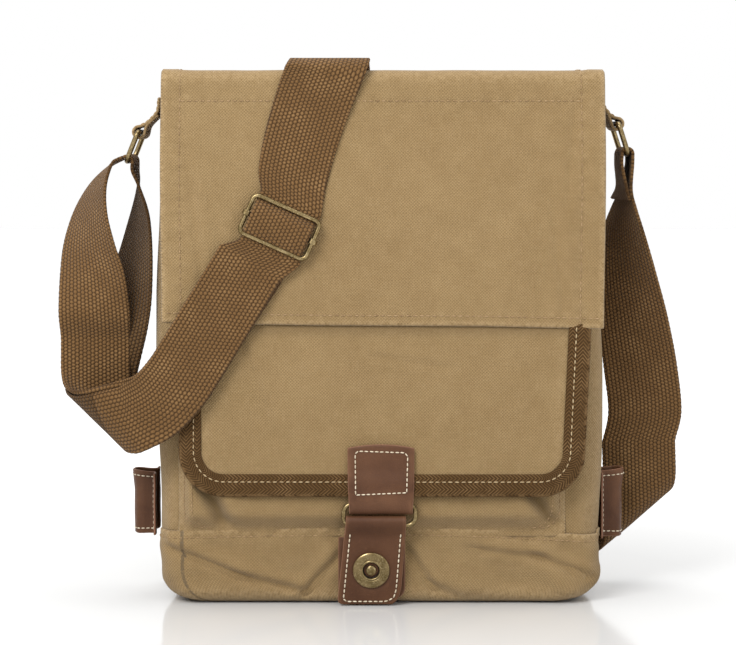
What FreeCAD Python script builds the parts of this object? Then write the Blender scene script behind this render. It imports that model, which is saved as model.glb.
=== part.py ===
"""Canvas messenger bag: a wedge-shaped body, a fold-over flap with a snap strap, and a webbing shoulder strap.

Millimetres. +X is to the right seen from the front, +Y to the back, +Z up.
The origin is the centre of the flat bottom.
"""
import FreeCAD, Part
import math
import os

V = FreeCAD.Vector
X_AXIS = V(1, 0, 0)
Y_AXIS = V(0, 1, 0)
Z_AXIS = V(0, 0, 1)

# Body: a wedge, deeper at the base than at the mouth
BODY_W = 264.0
BODY_H = 318.0
BASE_D = 80.0
MOUTH_D = 54.0
CORNER_R = 14.0
WALL = 2.0
SKIN = 0.6
SKIN_GAP = 0.1
BAND_T = 1.3
BAND_TOP = 44.0
BAND_LIFT = 1.6
PANEL_HALF_W = BODY_W / 2 - CORNER_R
FLOOR_T = 1.8
BOARD_T = 2.2
BODY_SLOPE = (BASE_D - MOUTH_D) / 2 / BODY_H
ANCHOR_X = (-126.0, 126.0)
ANCHOR_Z = (296.0, 318.2)

# Flap: a top plate over the mouth and a front plate that leans on the pocket
FLAP_HINGE_Y = 29.5
FLAP_HINGE_Z = 320.6
FLAP_REAR_GAP = 1.0
FLAP_TOP_Z = 319.2
SHELL_T = 1.6
YOKE_T = 1.4
FLAP_Y = -36.0
FLAP_CREST_Z = 322.2
FLAP_BEND = 6.0
FLAP_SLOPE = 0.066
YOKE_X = (-130.0, 134.0)
LOWER_X = (-121.0, 127.0)
YOKE_HEM_Z = 168.0
LOWER_END_Z = 67.0
LOWER_CORNER_R = 26.0
BINDING_W = 13.0
BINDING_T = 0.9

# Bellows pocket under the flap
POCKET_X = (-118.0, 111.0)
POCKET_Z = (BAND_TOP + 0.5, 164.0)
POCKET_BEND_Z = 58.0
POCKET_OUT = -5.1
POCKET_T = 1.4
POCKET_HEM = 14.0

# Closure: leather loop, oval ring, hanging strap with a snap
LOOP_X = (-18.2, 18.0)
LOOP_Z = (58.0, 97.0)
LOOP_PLAY = 0.9
FOLD_SLACK = 2.5
LEATHER_T = 1.5
RING_WIRE = 3.0
OVAL_X = -0.3
OVAL_W = 43.0
OVAL_H = 12.6
OVAL_CORNER_R = 5.0
OVAL_TOP_Z = 62.1
STRAP_LEATHER_W = 34.0
STRAP_LEATHER_END_Z = 1.8
STRAP_X = -1.7
STRAP_SLANT = 0.09
STRAP_CHAMFER = 6.0
STRAP_IN_DEG = 6.0
SNAP_DROP = 28.0
SNAP_RING_R = 11.0
SNAP_HOLE_R = 4.6
SNAP_TAB_X = (-21.0, 15.0)
SNAP_TAB_Z = (4.0, 40.0)
STUD_BASE_R = 5.5
STUD_BASE_T = 0.8
STUD_HEAD_R = 3.1
STUD_HEAD_T = 1.4
STUD_NECK_R = 2.4
STUD_REACH = 2.6

# Webbing and its hardware
WEB_W = 40.0
WEB_T = 1.8
WIRE = 3.2
D_W = 46.0
D_DEPTH = 19.0
D_CORNER_R = 6.0
D_LEFT = V(-146.5, 0, 285.0)
D_RIGHT = V(144.5, 0, 290.0)
D_LEFT_TILT = 22.0
D_RIGHT_TILT = 18.0
D_EYE_R = 3.0
TAB_W = 32.0
TAB_RISE = 12.0
TAB_PATCH_H = 17.0
TAB_PATCH_T = 2.4
EYE_IN_R = 2.3
EYE_OUT_R = 4.1
SPLIT_R_HINGE = 80.0
SPLIT_R_RING = 29.0
SPLIT_GAP = 0.8
FOLD_PLAY = 0.75
FOLD_DROP = 14.0
SLIDER_W = 43.0
SLIDER_H = 24.5
SLIDER_WIRE = 2.8
SLIDER_BAR = 2.4
SLIDER_TILT_DEG = 24.0
SLIDER_AT = (-60.0, 228.0)
FRAME_CORNER_R = 3.4
FRAME_OUT = 5.9
BAR_OUT = 3.7
COLLAR_R = 2.7
COLLAR_L = 3.0
SLIDER_WEB_W = 37.0
OUTER_LAYER_OUT = 3.4
UNDER_LAYER_OUT = 1.0
OUTER_TURN_R = 13.8
UNDER_TURN_R = 7.6
TURN_STEPS = 10

# Strap route: stops as (x, z, outwards) on the flap's plane, or as (centre, width direction)
TOP_ACROSS = (0.92, -0.38)
TOP_ROUTE = [(2.0, 46.0), (-27.8, -27.0)]
TOP_EDGE_X = -32.0
TOP_EDGE_OUT = 1.3
FRONT_ABOVE = [(-40.0, 303.0, 1.4), (-48.0, 279.0, 1.4), (-53.0, 252.0, 1.4, 38.0)]
SLIDER_WAVE = [(13.5, 3.2), (11.0, 3.2), (6.8, 8.1), (-6.8, 8.1), (-11.0, 3.2), (-13.5, 3.2)]
FRONT_BELOW = [(-77.0, 200.0, 0.0), (-100.0, 166.0, 0.0), (-128.0, 134.0, 0.6), (-155.0, 108.0, 1.8)]
OUTER_RISE = [((-174, -27.5, 134), (1, 0, 0)), ((-175, -27, 165), (1, 0.1, 0)), ((-176, -20, 195), (0.93, 0.36, 0)),
              ((-176, -14, 222), (0.75, 0.66, 0)), ((-171, -7, 240), (0.5, 0.86, 0)),
              ((-160, -1.5, 254), (0.12, 1, 0))]
INNER_RISE = [((-163, -37, 124), (0.99, 0.12, 0)), ((-150, -31, 142), (0.75, 0.66, 0)),
              ((-145.5, -17, 165), (0.2, 0.98, 0)), ((-140.5, -8, 195), (0.0, 1, 0)), ((-140, -4, 230), (0, 1, 0)),
              ((-145, -1, 250), (0, 1, 0))]
RIGHT_FALL = [((151.5, 0, 250), (0, -1, 0)), ((149, 5, 226), (0.5, -0.86, 0)),
              ((152, 11, 195), (0.85, -0.5, 0)), ((157, 15, 160), (1, -0.15, 0)), ((162, 18, 124), (1, 0, 0)),
              ((163.5, 20, 96), (1, 0, 0)), ((162, 22, 68), (1, 0, 0))]
RIGHT_TURN_R = 10.7
BACK_HEADING = (-0.54, 0, 0.843)
BACK_RUN_Y = 31.5
BACK_RUN_SLOPE = 0.048
BACK_RUN_TOP_Z = 315.0
BACK_RUN_STOPS = (110.0, 330.0)

# Leather side loops
SIDE_LOOP_Z = (46.0, 84.0)
SIDE_LOOP_REACH = 17.0
SIDE_LOOP_R = 7.0
SIDE_FLANGE = 19.0

FLAP_ANGLE = math.atan(FLAP_SLOPE)
FLAP_NORMAL = V(0, -math.cos(FLAP_ANGLE), math.sin(FLAP_ANGLE))
FLAP_UP = V(0, math.sin(FLAP_ANGLE), math.cos(FLAP_ANGLE))
HINGE = V(0, FLAP_HINGE_Y, FLAP_HINGE_Z)


# ---------------------------------------------------------------- helpers
def block(x0, x1, y0, y1, z0, z1):
    """Axis-aligned box between two corners."""
    return Part.makeBox(x1 - x0, y1 - y0, z1 - z0, V(x0, y0, z0))


def side_profile(points, x0, x1):
    """Outline given as (y, z) pairs, extruded along X."""
    ring = [V(x0, y, z) for y, z in points]
    face = Part.Face(Part.makePolygon(ring + ring[:1]))
    return face.extrude(V(x1 - x0, 0, 0))


def rounded_rectangle(width, depth, radius, z):
    """Horizontal closed wire centred on the Z axis."""
    a, b = width / 2 - radius, depth / 2 - radius
    k = radius * math.sqrt(0.5)
    edges = []
    for sx, sy in ((1, -1), (1, 1), (-1, 1), (-1, -1)):
        centre = V(sx * a, sy * b, z)
        first = V(sx * radius, 0, 0) if sx * sy > 0 else V(0, sy * radius, 0)
        last = V(0, sy * radius, 0) if sx * sy > 0 else V(sx * radius, 0, 0)
        middle = V(sx * k, sy * k, 0)
        edges.append(Part.Arc(centre + first, centre + middle, centre + last).toShape())
    ends = [(e.valueAt(e.FirstParameter), e.valueAt(e.LastParameter)) for e in edges]
    wires = []
    for i, edge in enumerate(edges):
        wires.append(edge)
        wires.append(Part.makeLine(ends[i][1], ends[(i + 1) % 4][0]))
    return Part.Wire(wires)


def wedge(offset, z0, z1):
    """Body wedge grown by an offset, between two heights."""
    wires = []
    for z in (z0, z1):
        depth = BASE_D - 2 * BODY_SLOPE * z + 2 * offset
        wires.append(rounded_rectangle(BODY_W + 2 * offset, depth, CORNER_R + offset, z))
    return Part.makeLoft(wires, True, True)


def body_front(z):
    """Y of the body's front surface at a height."""
    return -BASE_D / 2 + BODY_SLOPE * z


def flap_point(x, z, out):
    """Point over the flap's front plane at height z, moved outwards."""
    return V(x, FLAP_Y - (FLAP_CREST_Z - z) * FLAP_SLOPE, z) + FLAP_NORMAL * out


def flap_slab(x0, x1, z0, z1, out0, out1):
    """Plate parallel to the flap's front plane."""
    corners = [flap_point(0, z0, out0), flap_point(0, z1, out0), flap_point(0, z1, out1), flap_point(0, z0, out1)]
    return side_profile([(p.y, p.z) for p in corners], x0, x1)


def rounded_wire_loop(width, depth, near_r, far_r, wire):
    """Bent wire frame in the XZ plane: near side on Z = 0, centred on X, reaching down to -depth."""
    half = width / 2
    corners = [(half, 0, near_r), (half, -depth, far_r), (-half, -depth, far_r), (-half, 0, near_r)]
    edges = []
    ends = []
    for i, (cx, cz, r) in enumerate(corners):
        prev = corners[i - 1]
        nxt = corners[(i + 1) % 4]
        here = V(cx, 0, cz)
        into = (V(prev[0], 0, prev[1]) - here).normalize()
        away = (V(nxt[0], 0, nxt[1]) - here).normalize()
        start = here + into * r
        end = here + away * r
        middle = here + (into + away) * (r * (1 - math.sqrt(0.5)))
        edges.append(Part.Arc(start, middle, end).toShape())
        ends.append((start, end))
    path = []
    for i, edge in enumerate(edges):
        path.append(edge)
        gap = ends[(i + 1) % 4][0] - ends[i][1]
        if gap.Length > 0.01:
            path.append(Part.makeLine(ends[i][1], ends[(i + 1) % 4][0]))
    wire_path = Part.Wire(path)
    first = path[0]
    at = first.valueAt(first.FirstParameter)
    along = first.tangentAt(first.FirstParameter)
    section = Part.Wire(Part.makeCircle(wire / 2, at, along))
    return wire_path.makePipeShell([section], True, False)


def quad_faces(a, b, c, d):
    """One face through four corners, or two triangles where they are not in one plane."""
    out_of_plane = abs((b - a).cross(c - a).normalize().dot(d - a))
    if out_of_plane < 1e-7:
        return [Part.Face(Part.makePolygon([a, b, c, d, a]))]
    return [Part.Face(Part.makePolygon([a, b, c, a])), Part.Face(Part.makePolygon([a, c, d, a]))]


def ribbon(frames, thickness=WEB_T):
    """Flat band through frames of (centre, width direction, normal, width)."""
    rings = []
    for centre, across, normal, width in frames:
        a = V(across).normalize() * (width / 2)
        n = V(normal).normalize() * (thickness / 2)
        rings.append([centre - a - n, centre + a - n, centre + a + n, centre - a + n])
    faces = quad_faces(*rings[0]) + quad_faces(*rings[-1])
    for lower, upper in zip(rings, rings[1:]):
        for i, j in ((0, 1), (3, 2), (1, 2), (0, 3)):
            faces += quad_faces(lower[i], lower[j], upper[j], upper[i])
    sewn = Part.makeCompound(faces)
    sewn.sewShape()
    solid = Part.Solid(sewn.Shells[0])
    if solid.Volume < 0:
        solid.reverse()
    return solid


def rolled(centre, heading, axis, radius, turn_deg, steps, across_toward, width):
    """Frames of a band that rolls about an oblique axis, and its last heading."""
    axis = V(axis).normalize()
    heading = V(heading).normalize()
    along = heading.dot(axis)
    cross = math.sqrt(1 - along * along)
    spin_step = math.radians(turn_deg) / steps
    length_step = abs(spin_step) * radius / cross
    frames = []
    here = V(centre)
    across = V(across_toward)
    for i in range(steps + 1):
        normal = heading.cross(across)
        frames.append((V(here), V(across), V(normal), width))
        half = FreeCAD.Rotation(axis, math.degrees(spin_step / 2))
        heading = half.multVec(heading)
        across = half.multVec(across)
        here = here + heading * length_step
        heading = half.multVec(heading)
        across = half.multVec(across)
    return frames


def one(shape):
    """The largest solid of a boolean result."""
    return max(shape.Solids, key=lambda s: s.Volume)


def hinge_cylinder(radius, reach=700.0):
    """Cylinder about the flap hinge."""
    return Part.makeCylinder(radius, reach, HINGE - V(reach / 2, 0, 0), X_AXIS)


def ring_cylinder(at, radius, reach=160.0):
    """Cylinder about a D-ring's straight bar."""
    return Part.makeCylinder(radius, reach, at - V(0, reach / 2, 0), Y_AXIS)


# ---------------------------------------------------------------- body
def build_body():
    shell = wedge(0, 0, BODY_H).cut(wedge(-WALL, -1.0, BODY_H + 1.0))
    middle = block(-PANEL_HALF_W, PANEL_HALF_W, -60, 0, -1, BODY_H + 1)
    rear = block(-PANEL_HALF_W, PANEL_HALF_W, 0, 60, -1, BODY_H + 1)
    left = block(-BODY_W, -PANEL_HALF_W, -60, 60, -1, BODY_H + 1)
    right = block(PANEL_HALF_W, BODY_W, -60, 60, -1, BODY_H + 1)
    inner = WALL + SKIN_GAP
    floor = FLOOR_T + SKIN_GAP
    skin_z = floor + BOARD_T + SKIN_GAP
    skin = wedge(-inner, skin_z, BODY_H - 2).cut(wedge(-inner - SKIN, skin_z + SKIN, BODY_H))
    band = wedge(SKIN_GAP + BAND_T, BAND_LIFT, BAND_TOP).cut(wedge(SKIN_GAP, 0, BAND_TOP + 2))
    return {
        "front_panel": one(shell.common(middle)),
        "back_panel": one(shell.common(rear)),
        "gusset_left": one(shell.common(left)),
        "gusset_right": one(shell.common(right)),
        "base_panel": wedge(-inner, 0, FLOOR_T),
        "base_board": wedge(-inner - 2, floor, floor + BOARD_T),
        "lining": skin,
        "base_band": band,
        "flap_anchor": flap_anchor(),
    }


def flap_anchor():
    """Canvas strip sewn along the back of the mouth, where the flap starts."""
    z0, z1 = ANCHOR_Z
    y0, y1 = -body_front(z0) + SKIN_GAP, -body_front(z1) + SKIN_GAP
    return side_profile([(y0, z0), (y0 + WALL, z0), (y1 + WALL, z1), (y1, z1)], *ANCHOR_X)


# ---------------------------------------------------------------- pocket
def build_pocket():
    x0, x1 = POCKET_X
    z0, z1 = POCKET_Z
    back = POCKET_OUT - POCKET_T
    panel = flap_slab(x0, x1, POCKET_BEND_Z, z1, back, POCKET_OUT)
    bend, high = flap_point(0, POCKET_BEND_Z, back), flap_point(0, z1, back)
    front = flap_point(0, POCKET_BEND_Z, POCKET_OUT)
    sewn_y = body_front(z0) - SKIN_GAP
    floor_side = [(front.y, front.z - 0.05), (bend.y, bend.z - 0.05), (sewn_y, z0 + 2 * POCKET_T), (sewn_y, z0)]
    floor = side_profile(floor_side, x0, x1)
    wedge_side = [(bend.y, bend.z), (high.y, high.z), (body_front(high.z) - SKIN_GAP, high.z),
                  (sewn_y, z0 + 2 * POCKET_T + 0.1)]
    left = side_profile(wedge_side, x0, x0 + POCKET_T)
    right = side_profile(wedge_side, x1 - POCKET_T, x1)
    hem = flap_slab(x0 + 2, x1 - 2, z1 - POCKET_HEM, z1 - 0.2, POCKET_OUT + 0.1, POCKET_OUT + 0.8)
    return {
        "pocket_panel": panel,
        "pocket_gusset_left": left,
        "pocket_gusset_right": right,
        "pocket_floor": floor,
        "pocket_hem": hem,
    }


# ---------------------------------------------------------------- flap
def rounded_lower_plate(inset, z_top, out0, out1):
    """U-shaped front plate of the flap, with rounded lower corners."""
    x0, x1 = LOWER_X[0] + inset, LOWER_X[1] - inset
    z0 = LOWER_END_Z + inset
    radius = LOWER_CORNER_R - inset
    plate = block(x0, x1, -90, 10, z0 + radius, z_top)
    plate = plate.fuse(block(x0 + radius, x1 - radius, -90, 10, z0, z0 + radius))
    for cx in (x0 + radius, x1 - radius):
        plate = plate.fuse(Part.makeCylinder(radius, 100, V(cx, -90, z0 + radius), Y_AXIS))
    slab = flap_slab(x0, x1, z0, z_top, out0, out1)
    return one(slab.common(plate.removeSplitter()))


def flap_layer(x0, x1, z_end, out0, out1, rear_y):
    """Bent layer: over the mouth and down the front to a hem, its bend drawn with short chamfers."""
    crest = FLAP_CREST_Z + out1
    under = FLAP_CREST_Z + out0
    bend_z = FLAP_CREST_Z - FLAP_BEND
    outer_corner = flap_point(0, bend_z, out1)
    inner_corner = flap_point(0, bend_z, out0)
    outer_end = flap_point(0, z_end, out1)
    inner_end = flap_point(0, z_end, out0)
    points = [(rear_y, under), (rear_y, crest), (outer_corner.y + 5, crest),
              (outer_corner.y + 1.2, crest - 1.8), (outer_corner.y, outer_corner.z),
              (outer_end.y, outer_end.z), (inner_end.y, inner_end.z), (inner_corner.y, inner_corner.z),
              (inner_corner.y + 1.0, under - 1.5), (inner_corner.y + 4.2, under)]
    return side_profile(points, x0, x1)


def build_flap():
    rear = FLAP_HINGE_Y - FLAP_REAR_GAP
    yoke = flap_layer(YOKE_X[0], YOKE_X[1], YOKE_HEM_Z, -YOKE_T, 0.0, rear)
    shell_out = -YOKE_T - SKIN_GAP
    liner = flap_layer(LOWER_X[0], LOWER_X[1], YOKE_HEM_Z + 2, shell_out - SHELL_T, shell_out, rear)
    lower = rounded_lower_plate(0.0, YOKE_HEM_Z + 1.9, shell_out - SHELL_T, shell_out)
    rim = rounded_lower_plate(-0.1, YOKE_HEM_Z - 0.2, shell_out + 0.05, shell_out + 0.05 + BINDING_T)
    hollow = rounded_lower_plate(BINDING_W, YOKE_HEM_Z + 10, shell_out - 5, shell_out + 5)
    binding = one(rim.cut(hollow))
    return {
        "flap_yoke": yoke,
        "flap_lining": liner,
        "flap_lower_panel": lower,
        "flap_binding": binding,
        "closure_loop": closure_loop(),
    }


def closure_loop():
    """Leather loop sewn to the flap's lower edge and folded round the oval ring."""
    x0, x1 = LOOP_X
    back = -YOKE_T - 2 * SKIN_GAP - SHELL_T
    front = back + RING_WIRE + LOOP_PLAY
    bar = oval_bar()
    depth_mid = (front + back) / 2
    inner_r = (front - back) / 2
    fold_z = bar.z - FOLD_SLACK
    leaf_front = flap_slab(x0, x1, fold_z, LOOP_Z[1], front, front + LEATHER_T)
    leaf_back = flap_slab(x0, x1, fold_z, LOOP_Z[1] - 12, back - LEATHER_T, back)
    centre = flap_point(x0, fold_z, depth_mid)
    tube = Part.makeCylinder(inner_r + LEATHER_T, x1 - x0, centre, X_AXIS)
    tube = tube.cut(Part.makeCylinder(inner_r, x1 - x0, centre, X_AXIS))
    low_half = flap_slab(x0 - 1, x1 + 1, fold_z - 20, fold_z, -30, 30)
    return one(tube.common(low_half).fuse(leaf_front).fuse(leaf_back).removeSplitter())


def oval_bar():
    """Centre of the oval ring's upper bar."""
    back = -YOKE_T - 2 * SKIN_GAP - SHELL_T
    front = back + RING_WIRE + LOOP_PLAY
    return flap_point(OVAL_X, OVAL_TOP_Z, (front + back) / 2)


# ---------------------------------------------------------------- closure
def build_closure():
    bar = oval_bar()
    ring = rounded_wire_loop(OVAL_W, OVAL_H, OVAL_CORNER_R, OVAL_CORNER_R, RING_WIRE)
    ring.translate(bar)
    lower_bar = V(STRAP_X, bar.y, bar.z - OVAL_H)
    inner_r = RING_WIRE / 2 + 0.5
    half = STRAP_LEATHER_W / 2
    length = (lower_bar.z - STRAP_LEATHER_END_Z) / math.cos(math.radians(STRAP_IN_DEG))
    tube = Part.makeCylinder(inner_r + LEATHER_T, 2 * half, V(-half, 0, FOLD_SLACK), X_AXIS)
    tube = tube.cut(Part.makeCylinder(inner_r, 2 * half, V(-half, 0, FOLD_SLACK), X_AXIS))
    strap = tube.cut(block(-half, half, -inner_r, inner_r, -20, FOLD_SLACK))
    thick = 2 * LEATHER_T + 0.2
    rear = inner_r + LEATHER_T
    top_z = -inner_r - LEATHER_T + 1.2
    shift = STRAP_SLANT * length
    outline = [V(-half, rear - thick, top_z), V(half, rear - thick, top_z),
               V(half - shift, rear - thick, -length + STRAP_CHAMFER),
               V(half - shift - STRAP_CHAMFER, rear - thick, -length), V(-half - shift, rear - thick, -length)]
    tail = Part.Face(Part.makePolygon(outline + outline[:1])).extrude(V(0, thick, 0))
    leaf_z = FOLD_SLACK + 0.4
    front_leaf = side_profile([(-rear, leaf_z), (-inner_r, leaf_z), (-inner_r, -0.8), (rear - thick + 0.6, -5.5),
                               (rear - thick, -6.5), (-rear, -1.2)], -half, half)
    rear_leaf = block(-half, half, inner_r, rear, -4.0, leaf_z)
    strap = one(strap.fuse(tail).fuse(front_leaf).fuse(rear_leaf).removeSplitter())
    centre = V(-STRAP_SLANT * SNAP_DROP, rear, -SNAP_DROP)
    hole = Part.makeCylinder(SNAP_HOLE_R + 1.2, 20, centre - V(0, 15, 0), Y_AXIS)
    strap = one(strap.cut(hole))
    socket = Part.makeCylinder(SNAP_RING_R, 1.2, centre - V(0, thick + 1.3, 0), Y_AXIS)
    socket = socket.fuse(Part.makeCylinder(SNAP_HOLE_R + 1.15, thick + 0.2, centre - V(0, thick + 0.2, 0), Y_AXIS))
    socket = one(socket.cut(Part.makeCylinder(SNAP_HOLE_R, 20, centre - V(0, 15, 0), Y_AXIS)))
    for shape in (strap, socket):
        shape.rotate(V(0, 0, 0), X_AXIS, STRAP_IN_DEG)
        shape.translate(lower_bar)
    back_of_snap = FreeCAD.Rotation(X_AXIS, STRAP_IN_DEG).multVec(centre) + lower_bar
    return {"closure_ring": ring, "closure_strap": strap, "snap_socket": socket}, back_of_snap


def build_stud(back_of_snap):
    """Leather tab on the base band, with the ball stud that the snap ring takes."""
    z0, z1 = SNAP_TAB_Z
    y0 = body_front(z0) - BAND_T - 2 * SKIN_GAP
    y1 = body_front(z1) - BAND_T - 2 * SKIN_GAP
    tab = side_profile([(y0, z0), (y1, z1), (y1 - LEATHER_T, z1), (y0 - LEATHER_T, z0)], *SNAP_TAB_X)
    at = V(back_of_snap)
    face_y = body_front(at.z) - BAND_T - 2 * SKIN_GAP - LEATHER_T
    reach = face_y - at.y
    tip_y = face_y - reach - STUD_REACH
    base = Part.makeCylinder(STUD_BASE_R, STUD_BASE_T, V(at.x, face_y - STUD_BASE_T, at.z), Y_AXIS)
    neck = Part.makeCylinder(STUD_NECK_R, reach + STUD_REACH, V(at.x, tip_y, at.z), Y_AXIS)
    head = Part.makeCylinder(STUD_HEAD_R, STUD_HEAD_T, V(at.x, tip_y - 1.0, at.z), Y_AXIS)
    return {"snap_tab": tab, "snap_stud": one(base.fuse(neck).fuse(head).cut(tab))}


# ---------------------------------------------------------------- side hardware
def side_loop(side):
    """Leather belt loop on the gusset, open upwards."""
    wall_x = BODY_W / 2 + SKIN_GAP
    z0, z1 = SIDE_LOOP_Z
    height = z1 - z0
    outer_r = SIDE_LOOP_R + LEATHER_T
    centre_x = wall_x + SIDE_LOOP_REACH - outer_r
    bow = Part.makeCylinder(outer_r, height, V(centre_x, 0, z0), Z_AXIS)
    bow = bow.cut(Part.makeCylinder(SIDE_LOOP_R, height, V(centre_x, 0, z0), Z_AXIS))
    bow = bow.common(block(centre_x, centre_x + 2 * outer_r, -outer_r, outer_r, z0, z1))
    for sign in (-1, 1):
        ys = sorted((sign * SIDE_LOOP_R, sign * outer_r))
        bow = bow.fuse(block(wall_x, centre_x, ys[0], ys[1], z0, z1))
        ys = sorted((sign * SIDE_LOOP_R, sign * SIDE_FLANGE))
        bow = bow.fuse(block(wall_x, wall_x + LEATHER_T, ys[0], ys[1], z0, z1))
    bow = one(bow.removeSplitter())
    if side < 0:
        bow = bow.mirror(V(0, 0, 0), X_AXIS)
    return bow


def ring_tab(side, eye):
    """Canvas tab sewn to the gusset, folded round the D-ring's straight bar."""
    wall_x = BODY_W / 2 + SKIN_GAP
    ex, ez = abs(eye.x), eye.z
    half = TAB_W / 2
    loop = Part.makeCylinder(EYE_OUT_R, TAB_W, V(ex, -half, ez), Y_AXIS)
    low = V(wall_x, -half, ez + TAB_RISE - 3.4)
    corners = [low, V(wall_x, -half, ez + TAB_RISE), V(ex + 1.5, -half, ez + EYE_OUT_R - 0.4),
               V(ex - 2.6, -half, ez + 1.0), low]
    arm = Part.Face(Part.makePolygon(corners)).extrude(V(0, TAB_W, 0))
    patch_z = ez + EYE_OUT_R - 0.1
    patch = block(wall_x, wall_x + TAB_PATCH_T, -half, half, patch_z, patch_z + TAB_PATCH_H)
    tab = loop.fuse(arm).fuse(patch).cut(Part.makeCylinder(EYE_IN_R, TAB_W + 2, V(ex, -half - 1, ez), Y_AXIS))
    tab = one(tab.removeSplitter())
    if side < 0:
        tab = tab.mirror(V(0, 0, 0), X_AXIS)
    return tab


def d_ring(side, eye, tilt):
    """Bent-wire D-ring hanging from its straight bar along Y."""
    ring = rounded_wire_loop(D_W, D_DEPTH, D_EYE_R, D_CORNER_R, WIRE)
    ring.rotate(V(0, 0, 0), Z_AXIS, 90)
    ring.rotate(V(0, 0, 0), Y_AXIS, -side * tilt)
    ring.translate(eye)
    return ring


def far_bar(side, eye, tilt):
    """Centre of the D-ring's far bar."""
    a = math.radians(tilt)
    return eye + V(side * math.sin(a), 0, -math.cos(a)) * D_DEPTH


# ---------------------------------------------------------------- webbing
def bight(bar, width, drop):
    """Band folded over a bar along Y, both legs hanging."""
    inner_r = WIRE / 2 + FOLD_PLAY
    outer_r = inner_r + WEB_T
    half = width / 2
    arch = Part.makeCylinder(outer_r, width, V(bar.x, -half, bar.z), Y_AXIS)
    arch = arch.cut(Part.makeCylinder(inner_r, width, V(bar.x, -half, bar.z), Y_AXIS))
    # half tube over the ring's far bar, carried on down by a leg on each side of it
    arch = arch.common(block(bar.x - 20, bar.x + 20, -half, half, bar.z, bar.z + 20))
    legs = block(bar.x - outer_r, bar.x - inner_r, -half, half, bar.z - drop, bar.z)
    legs = legs.fuse(block(bar.x + inner_r, bar.x + outer_r, -half, half, bar.z - drop, bar.z))
    return one(arch.fuse(legs).removeSplitter())


def in_flap_plane(route, width=WEB_W):
    """Frames of a band lying over the flap, from (x, z, outwards[, width[, lean]]) stops."""
    frames = []
    for i, stop in enumerate(route):
        a = route[max(i - 1, 0)]
        b = route[min(i + 1, len(route) - 1)]
        lean = math.radians(stop[4]) if len(stop) > 4 else math.atan2(a[0] - b[0], a[1] - b[1])
        across = X_AXIS * math.cos(lean) - FLAP_UP * math.sin(lean)
        wide = stop[3] if len(stop) > 3 else width
        frames.append((flap_point(stop[0], stop[1], stop[2]), across, FLAP_NORMAL, wide))
    return frames


def slider_point(along, out):
    """Stop on the front run at a distance up the slider's short side."""
    tilt = math.radians(SLIDER_TILT_DEG)
    x = SLIDER_AT[0] + math.sin(tilt) * along
    z = SLIDER_AT[1] + math.cos(tilt) * along
    return (x, z, out, SLIDER_WEB_W, SLIDER_TILT_DEG)


def front_top_frames():
    """Over the mouth from the back, then down the front to just above the slider."""
    over = V(TOP_ACROSS[0], TOP_ACROSS[1], 0)
    high = FLAP_CREST_Z + 0.4 + WEB_T / 2
    frames = [(V(x, y, high), over, Z_AXIS, WEB_W) for x, y in TOP_ROUTE]
    edge = flap_point(TOP_EDGE_X, FLAP_CREST_Z, 0) + V(0, -TOP_EDGE_OUT, TOP_EDGE_OUT)
    frames.append((edge, X_AXIS, V(0, -1, 1), WEB_W / TOP_ACROSS[0]))
    return frames


def front_run_frames():
    route = list(FRONT_ABOVE)
    for along, out in SLIDER_WAVE:
        route.append(slider_point(along, out))
    for x, z, spread in FRONT_BELOW:
        route.append((x, z, OUTER_LAYER_OUT + spread))
    return in_flap_plane(route)


def under_frames():
    """Second layer, from behind the slider to the turn."""
    route = [slider_point(-7.4, UNDER_LAYER_OUT), slider_point(-13.5, UNDER_LAYER_OUT)]
    for x, z, _ in FRONT_BELOW:
        route.append((x, z, UNDER_LAYER_OUT))
    return in_flap_plane(route, SLIDER_WEB_W)


def turned(last, before, heading_after, radius):
    """Half roll that takes a band from its last frame round to a new heading."""
    across = V(last[1]).normalize()
    heading = last[0] - before[0]
    heading = (heading - across * heading.dot(across)).normalize()
    axis = heading + V(heading_after)
    return rolled(last[0], heading, axis, radius, -180.0, TURN_STEPS, across, last[3])


def eased(stops):
    """The same (centre, across) stops with one more on a smooth curve between each two."""
    filled = []
    for i in range(len(stops) - 1):
        p0, p1, p2, p3 = [V(*stops[min(max(k, 0), len(stops) - 1)][0]) for k in (i - 1, i, i + 1, i + 2)]
        middle = (p1 + p2) * 0.5625 - (p0 + p3) * 0.0625
        across = V(*stops[i][1]) + V(*stops[i + 1][1])
        filled += [stops[i], (tuple(middle), tuple(across.normalize()))]
    return filled + [stops[-1]]


def rising(stops, width):
    """Frames from (centre, across) stops, each cut along its stop's own across line."""
    points = eased(stops)
    frames = []
    for i, (centre, across) in enumerate(points):
        a = V(*points[max(i - 1, 0)][0])
        b = V(*points[min(i + 1, len(points) - 1)][0])
        heading = (b - a).normalize()
        across = V(*across).normalize()
        normal = heading.cross(across)
        frames.append((V(*centre), across, normal, width / normal.Length))
    return frames


def ring_stops(x, bar_z):
    """Last two stops of a band that rises beside a ring's far bar."""
    return [((x, 0, bar_z - 2), (0, 1, 0)), ((x, 0, bar_z + 3), (0, 1, 0))]


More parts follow.
